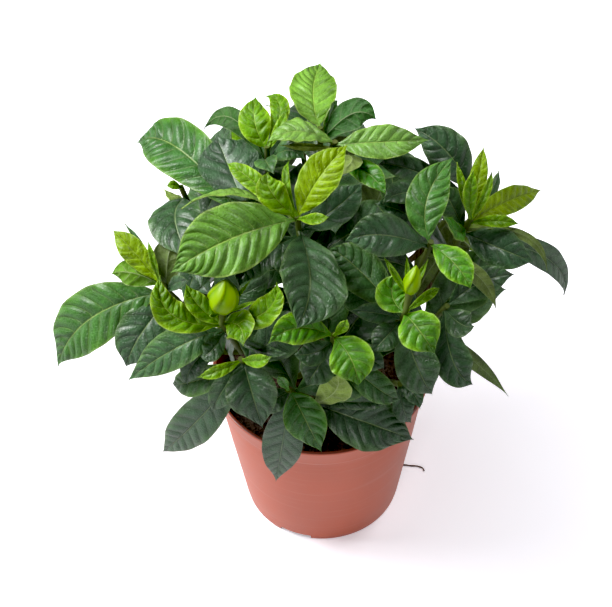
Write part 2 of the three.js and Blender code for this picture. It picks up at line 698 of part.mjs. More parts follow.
function budOval(bud, foot, along, height) {
  const toward = new THREE.Quaternion().setFromUnitVectors(new THREE.Vector3(0, 0, 1), along);
  const vertices = [new THREE.Vector3(0, 0, 0)];
  const triangles = [];
  for (let i = 1; i < BUD.rings; i++) {
    const t = i / BUD.rings;
    const radius = bud.radius * Math.sin(Math.PI * t ** 0.85) ** 0.8;
    for (let k = 0; k < BUD.around; k++) {
      const turn = (2 * Math.PI * k) / BUD.around;
      const r = radius * (1 + BUD.ridge * Math.cos(BUD.ridges * (turn - BUD.twist * t)));
      vertices.push(new THREE.Vector3(r * Math.cos(turn), r * Math.sin(turn), t * height));
    }
  }
  vertices.push(new THREE.Vector3(0, 0, height));
  const last = vertices.length - 1;
  for (let k = 0; k < BUD.around; k++) {
    const next = (k + 1) % BUD.around;
    triangles.push([0, 1 + next, 1 + k], [last, last - BUD.around + k, last - BUD.around + next]);
    for (let i = 0; i + 2 < BUD.rings; i++) {
      const a = 1 + i * BUD.around;
      const b = a + BUD.around;
      triangles.push([a + k, a + next, b + next], [a + k, b + next, b + k]);
    }
  }
  for (const vertex of vertices) vertex.applyQuaternion(toward).add(foot);
  return solidOf(vertices, triangles);
}

function sepalSolid(row, base) {
  const tip = pointAt(row.tip, crownDepth(row.tip) + row.lift);
  const chord = tip.clone().sub(base).normalize();
  const face = axes.back.clone().addScaledVector(chord, -axes.back.dot(chord)).normalize();
  const mid = mix(base, tip, 0.5).addScaledVector(face, -2);
  const half = ((row.wide / 2) * VIEW.distance) / VIEW.focal;
  const { sepalFold: fold, sepalWave: wave } = BUD;
  return bladeSolid({ base, mid, tip, face, half, fold, wave, phase: 0, plain: true });
}

function budSolid(bud, line) {
  const top = pointAt(bud.top, crownDepth(bud.top) + bud.lift);
  const foot = line.crown.clone().addScaledVector(line.along, GAP);
  const along = top.clone().sub(foot).normalize();
  const neck = foot.clone().addScaledVector(along, bud.stalk);
  const inside = neck.clone().addScaledVector(along, 2);
  const bend = foot.clone().addScaledVector(line.along, 1.5);
  const stalk = stemSolid([foot, bend, mix(bend, neck, 0.5), inside], [1.5, 1.5, 1.7, 2.4], 6);
  const parts = [budOval(bud, neck, along, top.distanceTo(neck)), stalk];
  return join([...parts, ...bud.sepals.map((row) => sepalSolid(row, neck))]);
}

const nodes = new Map();

function addNode(name, solids, colour) {
  nodes.set(name, { solid: join(solids), colour });
}

function colourOf(node) {
  if (node.startsWith("cutting")) return COLOURS.wood;
  if (node.startsWith("flower")) return COLOURS.bud;
  return node.endsWith("_young") ? COLOURS.young : COLOURS.dark;
}

function solidsOf(node) {
  return placed.filter((entry) => entry.node === node).map((entry) => entry.solid);
}

// Green stem of a shoot: the dark part starts at the foot, and the young part, if any, tops it.
function shootStems(name, line, young) {
  const at = (below) => line.crown.clone().addScaledVector(line.along, -below);
  const top = young ? STEM.youngLength + GAP : 0;
  place(name + "_leaves", stemSolid([at(line.length), at(top)], [STEM.green, STEM.young], STEM.sides));
  if (!young) return;
  place(name + "_young", stemSolid([at(STEM.youngLength), at(0)], [STEM.young, STEM.young], STEM.sides));
}

function lineOf(shoot) {
  const crown = pointAt(shoot.crown, crownDepth(shoot.crown) + shoot.lift);
  return { ...shootLine(crown, shoot.cutting), out: crownNormal(crown) };
}

// The line of a shoot that is placed round the plant by a rule.
function roundLine({ rule, cutting, ...row }) {
  const turn = rad(row.turn);
  const flat = Math.sqrt(1 - row.rise ** 2);
  const out = new THREE.Vector3(Math.sin(turn) * flat, Math.cos(turn) * flat, row.rise);
  const crown = CROWN.centre.clone().add(out.clone().multiply(CROWN.reach).multiplyScalar(rule.depth));
  const line = shootLine(crown, cutting);
  line.length = Math.min(rule.stem, 0.8 * crown.distanceTo(line.fork));
  line.foot = crown.clone().addScaledVector(line.along, -line.length);
  return { ...line, out };
}

// Opposite pairs of leaves down a stem from its crown, each pair turned a quarter from the last.
function ruleLeaves(rule, line, seed, young) {
  const random = randomFrom(rule.seed + seed);
  const lean = mix(line.along, line.out, 0.5).normalize();
  const side = new THREE.Vector3(0, 0, 1).cross(lean).normalize();
  const leaves = [];
  const first = young ? rule.first + STEM.youngLength : rule.first;
  for (let pair = young ? -1 : 0; pair < rule.pairs; pair++) {
    const { length, open } = pair < 0 ? YOUNG_PAIR : rule;
    const below = pair < 0 ? YOUNG_PAIR.first : first + rule.step * pair;
    const start = RULED.startVaries * random() + 90 * pair;
    for (const half of [0, 180]) {
      const around = side.clone().applyAxisAngle(lean, rad(start + half + RULED.turnVaries * (random() - 0.5)));
      const opening = rad(open + RULED.openingVaries * (random() - 0.5));
      const way = lean.clone().multiplyScalar(Math.cos(opening)).addScaledVector(around, Math.sin(opening));
      const size = length * (RULED.shortest + RULED.longer * random());
      const shape = { wide: RULED.narrowest + RULED.wider * random(), phase: 6 * random() };
      if (below > line.length - RULED.clearOfFoot) continue;
      leaves.push({ young: pair < 0, below, way, length: size, lean, ...shape });
    }
  }
  return leaves;
}

function ruleLeaf(row, line, bend) {
  const base = line.crown.clone().addScaledVector(line.along, -row.below);
  const way = row.way.clone().addScaledVector(row.lean, bend.tip / RULED.bendPer).normalize();
  const up = new THREE.Vector3(0, 0, 1);
  const tip = base.clone().addScaledVector(way, row.length * RULED.reach);
  tip.addScaledVector(up, -RULED.hang * row.length);
  const mid = base.clone().addScaledVector(way, row.length / 2).addScaledVector(up, RULED.arch * row.length);
  const face = row.lean.clone().addScaledVector(way, -row.lean.dot(way)).normalize();
  face.addScaledVector(up, RULED.upwards).normalize().applyAxisAngle(way, rad(bend.roll));
  const half = (row.wide * row.length) / 2;
  return { base, mid, tip, face, half, fold: BLADE.fold, wave: BLADE.wave, phase: row.phase, plain: true };
}

// Whether a leaf keeps inside the outline, and so far below the plant's surface.
function keepsInside(leaf, margin) {
  const [x, y] = pixelOf(leaf.tip);
  const across = (x - OUTLINE.centre[0]) / OUTLINE.reach[0];
  const down = (y - OUTLINE.centre[1]) / OUTLINE.reach[1];
  if (Math.hypot(across, down) > 1) return false;
  if (OUTLINE.bays.some(([left, top, radius]) => Math.hypot(x - left, y - top) < radius)) return false;
  return [leaf.mid, leaf.tip].every((point) => {
    const share = point.clone().sub(CROWN.centre).divide(CROWN.reach).length();
    return share < 1 - margin / CROWN.reach.z && depthOf(point) < crownDepth(pixelOf(point)) - margin;
  });
}

function growByRule(rule, line, seed, name, young) {
  for (const row of ruleLeaves(rule, line, seed, young)) {
    const node = name + (row.young ? "_young" : "_leaves");
    if (!keepsInside(ruleLeaf(row, line, BENDS[0]), rule.margin)) continue;
    placeLeaf(node, (bend) => ruleLeaf(row, line, bend));
  }
}

function ruledShoots() {
  const back = BACK_SHOOTS.map((row, i) => ({ name: "back_" + (i + 1), rule: BACK, cutting: "back", ...row }));
  const under = UNDER_SHOOTS.map((row, i) => ({ name: "under_" + (i + 1), rule: UNDER, young: false, ...row }));
  return [...back, ...under].map((shoot) => ({ ...shoot, line: roundLine(shoot) }));
}

function growSeenLeaves({ name, line }, rows, kind) {
  rows.forEach((row, i) => {
    if (placeLeaf(name + kind, (bend) => seenLeaf(row, line, bend))) return;
    throw new Error("no room for leaf " + i + " of " + name + kind);
  });
}

// The plant: stems and buds first, then the leaves that show, then those that follow a rule.
function growPlant() {
  const seen = SHOOTS.map((shoot) => ({ ...shoot, line: lineOf(shoot) }));
  const ruled = ruledShoots();
  for (const [name, cutting] of Object.entries(CUTTINGS)) {
    place("cutting_" + name, trunk(cutting));
    const branches = [...seen, ...ruled].filter((shoot) => shoot.cutting === name);
    for (const shoot of branches) place("cutting_" + name, woodyBranch(shoot.line));
  }
  for (const shoot of seen) {
    shootStems(shoot.name, shoot.line, shoot.young !== undefined);
    const bud = BUDS[shoot.name];
    if (bud) place(bud.node, budSolid(bud, shoot.line));
  }
  for (const shoot of ruled) shootStems(shoot.name, shoot.line, shoot.young);
  for (const shoot of seen) growSeenLeaves(shoot, shoot.young ?? [], "_young");
  for (const shoot of seen) growSeenLeaves(shoot, shoot.dark, "_leaves");
  seen.forEach((shoot, i) => growByRule(INNER, shoot.line, i, shoot.name, false));
  ruled.forEach((shoot, i) => growByRule(shoot.rule, shoot.line, i, shoot.name, shoot.young));
  const grown = new Set(placed.map((entry) => entry.node));
  for (const node of grown) addNode(node, solidsOf(node), colourOf(node));
}

function ringProfile(points) {
  return points.map(([r, z]) => new THREE.Vector2(r, z));
}

function radiusAt(z) {
  return POT.footRadius + ((POT.rimRadius - POT.lipWidth / 2 - POT.footRadius) * z) / POT.height;
}

// The pot is one moulding: a tapered wall with a rolled lip, a rim band and a raised floor.
function potSolid() {
  const top = POT.height;
  const band = top - POT.bandHeight;
  const floorTop = POT.floorRise + POT.floorThick;
  const profile = ringProfile([
    [0, POT.floorRise],
    [POT.footRadius - POT.footWall - 1, POT.floorRise],
    [POT.footRadius - POT.footWall, 0],
    [POT.footRadius, 0],
    [radiusAt(8), 8],
    [radiusAt(band) - POT.bandStep, band],
    [radiusAt(band + 1.5), band + 1.5],
    [radiusAt(top - POT.lipHeight), top - POT.lipHeight],
    [POT.rimRadius, top - POT.lipHeight + 0.4],
    [POT.rimRadius, top - 0.4],
    [POT.rimRadius - 0.6, top],
    [POT.rimRadius - POT.lipWidth, top],
    [radiusAt(top - 3) - POT.wall, top - 3],
    [radiusAt(floorTop + 3) - POT.wall, floorTop + 3],
    [radiusAt(floorTop) - POT.wall - 2, floorTop],
    [0, floorTop],
  ]);
  let pot = solidOfGeometry(new THREE.LatheGeometry(profile, POT.facets).rotateX(Math.PI / 2));
  for (const degrees of POT.notchTurns) {
    const turn = rad(degrees);
    const out = new THREE.Vector3(Math.sin(turn), -Math.cos(turn), 0);
    const notch = new THREE.BoxGeometry(POT.notchWidth, POT.notchDeep, 2 * POT.notchHeight);
    notch.rotateZ(turn);
    notch.translate(out.x * POT.footRadius, out.y * POT.footRadius, 0);
    pot = pot.subtract(solidOfGeometry(notch));
    const middle = POT.footRadius - POT.footWall - POT.drainInset;
    const drain = new THREE.CylinderGeometry(POT.drainRadius, POT.drainRadius, 8, POT.drainSides);
    drain.rotateX(Math.PI / 2).translate(out.x * middle, out.y * middle, POT.floorRise);
    pot = pot.subtract(solidOfGeometry(drain));
  }
  return pot;
}

// Potting soil, mounded a little round the stems, crumbly on top, with a plain hole for each cutting.
function soilSolid() {
  const random = randomFrom(3);
  const bottom = POT.floorRise + POT.floorThick + GAP;
  const wall = (z) => radiusAt(z) - POT.wall - GAP - SOIL.inset;
  const vertices = [new THREE.Vector3(0, 0, bottom)];
  const triangles = [];
  const levels = [[wall(bottom) - 2, bottom], [wall(bottom + 4), bottom + 4], [wall(SOIL.top - 1), SOIL.top - 1]];
  for (const [radius, z] of levels) {
    for (let k = 0; k < SOIL.spokes; k++) {
      const turn = (2 * Math.PI * k) / SOIL.spokes;
      vertices.push(new THREE.Vector3(radius * Math.cos(turn), radius * Math.sin(turn), z));
    }
  }
  for (let i = 1; i <= SOIL.rings; i++) {
    const share = 1 - i / (SOIL.rings + 1);
    const radius = wall(SOIL.top) * share;
    for (let k = 0; k < SOIL.spokes; k++) {
      const turn = (2 * Math.PI * (k + 0.5 * (i % 2))) / SOIL.spokes;
      const z = SOIL.top + SOIL.mound * (1 - share * share) + SOIL.crumb * (random() - 0.5);
      vertices.push(new THREE.Vector3(radius * Math.cos(turn), radius * Math.sin(turn), z));
    }
  }
  vertices.push(new THREE.Vector3(0, 0, SOIL.top + SOIL.mound));
  const last = vertices.length - 1;
  const ringCount = levels.length + SOIL.rings;
  for (let k = 0; k < SOIL.spokes; k++) {
    const next = (k + 1) % SOIL.spokes;
    const end = last - SOIL.spokes;
    triangles.push([0, 1 + next, 1 + k], [last, end + k, end + next]);
    for (let i = 0; i + 1 < ringCount; i++) {
      const a = 1 + i * SOIL.spokes;
      const b = a + SOIL.spokes;
      triangles.push([a + k, a + next, b + next], [a + k, b + next, b + k]);
    }
  }
  let soil = solidOf(vertices, triangles);
  for (const { foot } of Object.values(CUTTINGS)) {
    const radius = STEM.trunk[0] + GAP;
    const hole = new THREE.CylinderGeometry(radius, radius, 2 * STEM.rootDepth, SOIL.holeSides);
    hole.rotateX(Math.PI / 2).translate(foot[0], foot[1], SOIL.top - GAP);
    soil = soil.subtract(solidOfGeometry(hole));
  }
  return soil;
}

// The rootlet lies on the ground and never reaches under it.
function rootletSolid() {
  const curve = new THREE.CatmullRomCurve3(ROOTLET.route.map((point) => new THREE.Vector3(...point)));
  const points = curve.getPoints(ROOTLET.steps);
  for (const point of points) point.z = Math.max(point.z, ROOTLET.radius);
  const radii = points.map((_, i) => ROOTLET.radius * (1 - ROOTLET.thins * (i / ROOTLET.steps)));
  return stemSolid(points, radii, ROOTLET.sides);
}

addNode("pot", [potSolid()], COLOURS.terracotta);
addNode("soil", [soilSolid()], COLOURS.soil);
addNode("rootlet", [rootletSolid()], COLOURS.root);
growPlant();

const group = new THREE.Group();
for (const [name, { solid, colour }] of nodes) {
  const material = new THREE.MeshStandardMaterial({ color: colour, roughness: 0.5, metalness: 0 });
  const mesh = new THREE.Mesh(geometryOf(solid), material);
  mesh.name = name;
  group.add(mesh);
}
const middle = new THREE.Box3().setFromObject(group).getCenter(new THREE.Vector3());
group.position.set(-middle.x, -middle.y, 0);

export default group;
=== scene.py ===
import math
from functools import partial

import bmesh
import bpy
import numpy as np
from bpy.props import FloatProperty, FloatVectorProperty, IntProperty, PointerProperty
from mathutils import Matrix, Vector, kdtree, noise


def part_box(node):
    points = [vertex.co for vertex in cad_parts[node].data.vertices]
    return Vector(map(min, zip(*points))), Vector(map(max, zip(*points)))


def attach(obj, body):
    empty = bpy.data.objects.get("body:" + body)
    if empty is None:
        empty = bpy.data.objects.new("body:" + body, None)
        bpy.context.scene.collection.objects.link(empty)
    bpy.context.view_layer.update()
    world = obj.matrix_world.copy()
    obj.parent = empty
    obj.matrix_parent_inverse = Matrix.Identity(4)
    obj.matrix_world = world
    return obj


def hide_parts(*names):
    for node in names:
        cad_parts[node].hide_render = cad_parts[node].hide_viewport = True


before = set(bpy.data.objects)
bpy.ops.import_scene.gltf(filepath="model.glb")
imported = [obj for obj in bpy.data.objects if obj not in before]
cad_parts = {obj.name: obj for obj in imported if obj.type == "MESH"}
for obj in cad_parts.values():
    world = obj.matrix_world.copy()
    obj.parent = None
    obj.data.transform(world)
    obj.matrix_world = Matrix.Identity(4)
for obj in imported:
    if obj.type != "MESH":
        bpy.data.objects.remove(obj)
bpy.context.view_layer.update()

bl_info = {
    "name": "Potted gardenia",
    "version": (1, 0, 0),
    "blender": (4, 5, 0),
    "location": "View3D > Sidebar > Gardenia",
    "description": "Builds a potted gardenia with quilted leaves, two buds, its pot and a pale studio",
    "category": "Add Mesh",
}

# Sizes and places below are in millimetres, measured from the middle of the pot's foot, +Z up.
MM = 0.001
POT_CENTRE = (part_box("pot")[0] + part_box("pot")[1]) / 2
SHIFT = np.array([POT_CENTRE.x, POT_CENTRE.y, 0.0]) / MM
GAP = 0.3

# Where the photograph was taken from: its aim, distance and tilt, its focal length and size in pixels.
VIEW = {
    "aim": np.array([-8.0, 0.0, 169.1]),
    "distance": 1200.0,
    "pitch": math.radians(49.01),
    "roll": math.radians(-1.34),
    "focal": 2078.0,
    "centre": (306.0, 303.5),
    "width": 612,
}

# The rounded crown that the leaf tips reach, and how far its lower front draws in towards the rim.
CROWN_CENTRE = np.array([-4.0, 4.0, 188.0])
CROWN_REACH = np.array([143.0, 132.0, 106.0])
SKIRT = {"from_row": 320, "rows": 160, "depth": 60, "power": 1.4}
OUTLINE = {"centre": (310, 262), "reach": (204, 166), "bays": [(118, 214, 40), (500, 345, 50)]}

BLADE = {
    "petiole": 0.9, "petiole_share": 0.06, "fold": 17, "curl": 0.24, "wave": 0.07, "waves": 2.3,
    "outward": 0.3, "least_facing": 0.4, "bow": 5, "fullest": 0.96, "roundness": 0.75, "narrows": 0.35,
    "narrow_power": 12, "point": 0.6,
}
STATIONS = np.array([0.13, 0.36, 0.62, 0.86])
PLAIN_STATIONS = np.array([0.2, 0.5, 0.8])

STEM = {
    "green": 1.7, "young": 1.5, "wood": 2.3, "trunk": (3.6, 3.6, 3.1, 2.6), "root_depth": 28,
    "clear_of_soil": 8, "into_fork": 2.5, "young_length": 7, "past_crown": -0.4, "green_share": 0.62,
    "shortest": 26, "longest": 62, "away": 0.75, "upwards": 0.4, "step": 2.5, "into_green": 0.3,
    "most_of_way": 0.8, "branch_steps": 15, "trunk_steps": 28,
}
JOINT = {"first": 4, "apart": 13, "reach": 1.4, "thicker": 0.16}
KNOT = {"branch": 0.06, "branch_waves": 9, "trunk": 0.04, "trunk_waves": 1.9}
SIDES = {"green_stem": 12, "wood": 14, "stalk": 14, "root": 10, "drain": 24}

# The fine blade. Pairs run from the newest leaf to the oldest, or from where a change starts to its end.
FINE = {
    "veins": (5, 12), "spacing": (0.6, 0.95), "rows": 8, "plain_rows": 4, "slant": 0.9, "most_slant": 0.28,
    "slant_straight": 0.55, "slant_curved": 0.45, "petiole": (0.05, 0.16), "least_half": 0.1,
    "frill": (0.07, 0.03), "frills": 5.3, "from_midrib": (0.02, 0.22), "to_margin": (0.8, 1),
    "from_foot": (0.04, 0.2), "to_tip": (0.85, 1), "uneven": 0.014, "uneven_waves": 1.7, "alternate": 0.22,
    "beside_midrib": (0, 0.1), "swell": 0.35, "swell_step": 2.3, "plump": 0.7, "base_level": 0.6,
    "depth": 0.7, "deeper": 0.45, "young_until": 0.1, "flattened": 0.85, "groove": 0.35,
    "groove_wide": 0.8, "rib": 0.8, "rib_thins": 0.75, "rib_wide": 0.7, "stalk": (0.03, 0.14),
    "stalk_thick": 0.9, "edge": (0.6, 1), "edge_share": 0.65,
}
ACROSS = np.array([0, 0.05, 0.13, 0.27, 0.44, 0.62, 0.8, 0.93, 1])
PLAIN_ACROSS = np.array([0, 0.12, 0.4, 0.7, 1])

POT = {
    "height": 110.5, "rim_radius": 65, "foot_radius": 48, "wall": 1.4, "lip_width": 2.2, "lip_height": 2,
    "band_height": 15, "band_step": 0.7, "floor_rise": 4, "floor_thick": 1.4, "foot_wall": 2.4,
    "notch_width": 20, "notch_height": 3.6, "notch_deep": 16, "notch_turns": (-22, 98, 218),
    "drain_radius": 5, "drain_inset": 9, "drain_cut": 8,
}
SOIL = {
    "top": 97, "mound": 4, "inset": 0.4, "rings": 44, "spokes": 120, "chamfer": 2, "shoulder": 1.4,
    "rough_above": 1, "lumps": (0.09, 1.6), "lumpy": (0.9, 2.1, 4), "grit": (0.5, 0.5),
    "crumbs_above": 1.2, "crumbs": 260000.0, "smallest_crumb": 0.25, "seed": 5,
}
ROOTLET = {
    "radius": 0.7, "thins": 0.35, "steps": 60, "knots": 0.1, "knot_waves": 40,
    "route": [
        (36.5, 5.1, 4.9), (38.5, 5.3, 3), (42.5, 5.8, 1.3), (47, 6.6, 0.8), (52, 7.4, 0.7),
        (56.5, 6.6, 0.7), (60.5, 6.2, 0.7), (64, 4.6, 0.7), (65, 2.2, 0.7),
    ],
}

CUTTINGS = {
    "front": {"foot": (-2, -20), "fork": (0, -16, 152)},
    "left": {"foot": (-22, 2), "fork": (-28, 2, 148)},
    "right": {"foot": (22, -2), "fork": (30, 2, 150)},
    "back": {"foot": (4, 20), "fork": (4, 30, 150)},
}


def leaf(tip, mid, wide, lift, below, tone, **shape):
    """A leaf's tip and the middle of its midrib in pixels, its width as seen in pixels, the tip's height
    over the crown, and how far down its shoot it grows, in millimetres."""
    return {"tip": tip, "mid": mid, "wide": wide, "lift": lift, "below": below, "tone": tone, **shape}


def shoot(name, crown, lift, cutting, young=(), dark=()):
    return {"name": name, "crown": crown, "lift": lift, "cutting": cutting, "young": young, "dark": dark}


SHOOTS = [
    shoot("centre_top", (297, 216), -8, "front", young=[
        leaf((170.5, 273), (230, 239), 72, 16, 3, "broad", bow=12),
        leaf((348, 144.5), (319, 178), 40, 26, 2, "golden", roll=-8),
        leaf((268, 172.5), (272, 193), 30, 12, 1, "lime"),
        leaf((227, 163.5), (253, 181), 20, 2, 4, "lime"),
        leaf((181, 208.9), (235, 193), 8, -8, 5, "fresh", roll=60),
        leaf((328.7, 217), (315, 219), 12, 8, 2, "lime"),
        leaf((289.3, 161), (286, 182), 8, 4, 0, "lime"),
    ], dark=[
        leaf((296.5, 329), (310, 282), 66, 4, 12, "dark", bow=8, fold=27, roll=-27),
        leaf((239.5, 287.5), (256, 258), 36, -8, 18, "dark"),
        leaf((362, 183), (337, 207), 36, -4, 14, "dark", bow=4),
    ]),
    shoot("back_top", (320, 128), -16, "back", young=[
        leaf((320.6, 62.8), (313, 93), 48, 16, 2, "bright", fold=22),
    ], dark=[
        leaf((337.6, 100.4), (331, 113), 8, 4, 11, "green", roll=55),
        leaf((376.5, 120), (352, 114), 32, -8, 12, "shaded", under=True),
    ]),
    shoot("top_right", (335, 142), -8, "back", young=[
        leaf((267.4, 141.8), (300, 131), 24, 2, 2, "fresh", roll=34),
        leaf((428.8, 140), (381, 142), 35, 6, 2, "fresh", bow=9),
        leaf((281, 145.5), (308, 147), 8, -3, 5, "lime", under=True),
    ], dark=[
        leaf((333, 178), (352, 160), 22, -8, 12, "green", under=True),
        leaf((386, 195), (366, 172), 24, -10, 14, "green"),
    ]),
    shoot("back_left", (267, 147), -12, "left", young=[
        leaf((256, 96.5), (255, 123), 33, 18, 2, "lime"),
        leaf((265, 96), (280, 109), 20, 8, 1, "lime"),
        leaf((287, 110), (279, 128), 10, 3, 4, "lime"),
    ], dark=[
        leaf((204, 129), (233, 119), 23, -10, 12, "shaded", under=True),
        leaf((274, 174), (266, 161), 24, -2, 10, "mid"),
        leaf((305, 160), (288, 150), 22, -4, 11, "mid"),
    ]),
    shoot("left_top", (244, 203), -12, "left", dark=[
        leaf((216.3, 135.8), (229, 167), 62, 15, 3, "grey", roll=12, fold=22),
        leaf((137.3, 143), (179, 149), 58, -6, 16, "grown", bow=7),
    ]),
    shoot("left_middle", (181, 187), -22, "left", young=[
        leaf((166, 186), (174, 185), 9, -8, 1, "lime"),
    ], dark=[
        leaf((191, 262), (175, 219), 54, -4, 9, "dark", bow=10),
    ]),
    shoot("left", (160, 283), -14, "left", young=[
        leaf((112.7, 230), (134, 252), 25, 12, 1, "golden"),
        leaf((111.7, 274), (133, 273), 27, 4, 4, "rimmed", under=True),
        leaf((125, 223.8), (142, 248), 6, 4, 2, "mid", roll=50),
        leaf((148, 241), (153, 260), 7, 8, 0, "lime"),
    ], dark=[
        leaf((175, 234), (168, 258), 32, 0, 10, "mid", under=True),
        leaf((189, 281), (176, 283), 14, 0, 11, "dark"),
        leaf((57.8, 367), (91, 318), 60, 4, 12, "grown", bow=10),
        leaf((126, 367), (141, 334), 50, -10, 18, "dark", bow=6),
    ]),
    shoot("bud_left", (222, 324), -10, "left", young=[
        leaf((160.3, 275), (171, 314), 30, 8, 3, "lime", bow=6, roll=22, wave=0.2),
        leaf((186, 284), (199, 306), 22, 6, 2, "lime", wave=0.14),
        leaf((243, 346), (239, 326), 36, 12, 2, "lime", wave=0.12),
        leaf((276.5, 282), (266, 311), 28, 0, 4, "lime", wave=0.16),
    ], dark=[
        leaf((127.3, 381), (176, 348), 40, 6, 11, "mid", bow=10),
        leaf((289, 353), (260, 349), 11, -4, 13, "dark"),
        leaf((201, 356), (212, 350), 22, -4, 12, "dark"),
        leaf((187.5, 384.6), (195, 362), 24, -8, 20, "dark"),
    ]),
    shoot("low_left", (241, 359), -10, "left", young=[
        leaf((197.5, 377.3), (219, 371), 13, 4, 3, "lime"),
        leaf((271.4, 356.5), (257, 361), 14, 4, 2, "lime"),
    ], dark=[
        leaf((262.5, 427.7), (251, 390), 52, 8, 10, "dark", bow=9, fold=20),
        leaf((212.5, 411.6), (223, 390), 25, 0, 12, "dark"),
        leaf((172.6, 383.2), (196, 381), 30, -8, 17, "mid"),
        leaf((162.5, 451.8), (197, 421), 42, -8, 24, "dark", bow=8),
    ]),
    shoot("front", (288, 390), -14, "front", young=[
        leaf((278, 376), (283, 382), 10, 0, 1, "green"),
    ], dark=[
        leaf((275.9, 481.3), (283, 440), 41, 2, 12, "grey", bow=9),
        leaf((321.4, 451.8), (304, 417), 42, 8, 9, "grown", bow=8),
        leaf((262, 416), (273, 401), 24, -14, 13, "dark"),
    ]),
    shoot("centre_low", (334, 335), -12, "front", young=[
        leaf((268.8, 343), (298, 328), 34, 3, 3, "rimmed", bow=7),
        leaf((358.3, 386), (351, 359), 46, 10, 3, "rimmed", bow=7),
        leaf((347, 319.5), (343, 327), 11, 4, 0, "lime"),
    ], dark=[
        leaf((294, 354), (313, 353), 26, -6, 12, "dark"),
        leaf((306.5, 385), (318, 367), 36, -4, 16, "dark"),
        leaf((384, 368), (366, 357), 26, -4, 14, "dark"),
        leaf((400, 400), (372, 384), 30, -6, 22, "mid"),
    ]),
    shoot("front_right", (312, 404), -22, "front", dark=[
        leaf((413.7, 439.6), (365, 422), 56, 6, 6, "dark", bow=10),
        leaf((337, 374), (335, 391), 32, 0, 2, "fresh", under=True),
        leaf((386, 404), (360, 402), 16, -6, 4, "dark"),
    ]),
    shoot("bud_right", (405, 312), -10, "right", young=[
        leaf((397, 272.7), (392, 295), 35, 8, 2, "rimmed", wave=0.1),
        leaf((439.6, 288), (427, 296), 10, 6, 1, "lime"),
        leaf((435, 353.6), (419, 330), 44, 8, 3, "rimmed", bow=7),
    ], dark=[
        leaf((329.7, 248.5), (359, 270), 46, 0, 11, "mid", bow=8),
        leaf((350, 311), (376, 313), 20, -2, 13, "dark"),
        leaf((432.2, 394.3), (417, 366), 44, 2, 16, "dark", bow=7),
        leaf((373, 352), (386, 337), 28, -4, 18, "dark"),
        leaf((508.1, 396.1), (461, 352), 17, -10, 22, "mid", under=True),
    ]),
    shoot("low_right", (400, 384), -24, "right", dark=[
        leaf((411, 422.5), (403, 407), 22, -4, 3, "grey"),
        leaf((420, 409), (413, 393), 18, -4, 5, "dark"),
    ]),
    shoot("right", (431, 242), -10, "right", dark=[
        leaf((453.8, 156.8), (427, 199), 42, 18, 2, "grown", bow=4, roll=-10),
        leaf((471, 289), (455, 264), 32, 4, 2, "rimmed"),
        leaf((345, 240.8), (384, 235), 44, 6, 6, "dark", bow=8),
        leaf((496, 309.4), (474, 273), 18, -14, 14, "mid", under=True),
    ]),
    shoot("spear", (471, 219), -12, "right", young=[
        leaf((483.7, 146.4), (478, 180), 18, 26, 1, "golden"),
        leaf((474, 169.5), (470, 194), 15, 24, 0, "lime"),
        leaf((457, 162), (463, 190), 9, 18, 1, "lime"),
        leaf((492, 170), (485, 195), 9, 16, 2, "lime"),
        leaf((541.6, 190), (508, 201), 27, 10, 3, "golden"),
        leaf((519, 224), (497, 221), 13, 2, 4, "lime"),
    ], dark=[
        leaf((498.5, 171), (491, 192), 11, 6, 9, "mid", roll=40),
        leaf((443.6, 186), (451, 203), 29, 2, 10, "mid"),
        leaf((443.5, 216), (455, 230), 19, 4, 9, "green", roll=30),
        leaf((534, 262), (499, 248), 40, -2, 13, "dark", bow=6),
        leaf((563.8, 295.5), (545, 257), 27, -8, 15, "grey", bow=4),
        leaf((546.9, 270.3), (524, 236), 10, 2, 11, "mid", under=True),
    ]),
    shoot("right_back", (474, 187), -22, "back", dark=[
        leaf((414, 128), (448, 153), 44, 0, 4, "dark"),
        leaf((378, 164), (412, 170), 26, -12, 8, "dark"),
        leaf((383, 203), (412, 192), 26, -14, 12, "dark"),
    ]),
    shoot("right_low", (447, 306), -28, "right", dark=[
        leaf((515, 274.4), (480, 283), 30, -8, 3, "dark"),
        leaf((474, 326), (461, 324), 30, -6, 5, "dark"),
        leaf((473, 384.5), (453, 361), 38, -4, 6, "dark", bow=6),
    ]),
]

# Leafy shoots of the far side and short ones under the leaves that show: turn from the back in degrees,
# rise towards the top as a share of the crown's reach, whether young leaves top them, and their cutting.
BACK_SHOOTS = [
    (-80, -0.2, False, "back"), (-46, -0.3, True, "back"), (-10, -0.25, False, "back"),
    (30, -0.32, False, "back"), (66, -0.22, True, "back"), (-62, 0.38, False, "back"),
    (-22, 0.34, True, "back"), (16, 0.4, False, "back"), (54, 0.34, False, "back"), (-4, 0.74, False, "back"),
]
UNDER_SHOOTS = [
    (90, -0.34, False, "right"), (120, -0.38, False, "right"), (156, -0.5, False, "front"),
    (196, -0.42, False, "front"), (234, -0.46, False, "left"), (268, -0.3, False, "left"),
    (181, 0.32, False, "front"),
]

# Leaf pairs that follow a rule: how far below the crown they start, their spacing, length, opening and how
# far inside the crown they end. The far side's may reach past it.
BACK = {
    "depth": 0.66, "stem": 80, "first": 9, "step": 16, "pairs": 3, "length": 68, "open": 62, "seed": 7,
    "margin": -99,
}
INNER = {"first": 20, "step": 14, "pairs": 3, "length": 66, "open": 72, "seed": 40, "margin": 12}
UNDER = {
    "depth": 0.5, "stem": 44, "first": 4, "step": 12, "pairs": 3, "length": 64, "open": 62, "seed": 90,
    "margin": 9,
}
YOUNG_PAIR = {"first": 2, "length": 40, "open": 28}
RULED = {
    "reach": 0.97, "hang": 0.14, "arch": 0.05, "upwards": 0.5, "shortest": 0.82, "longer": 0.36,
    "narrowest": 0.4, "wider": 0.08, "opening_varies": 18, "turn_varies": 20, "start_varies": 50,
    "bend_per": 60, "clear_of_foot": 3, "phases": 6,
}

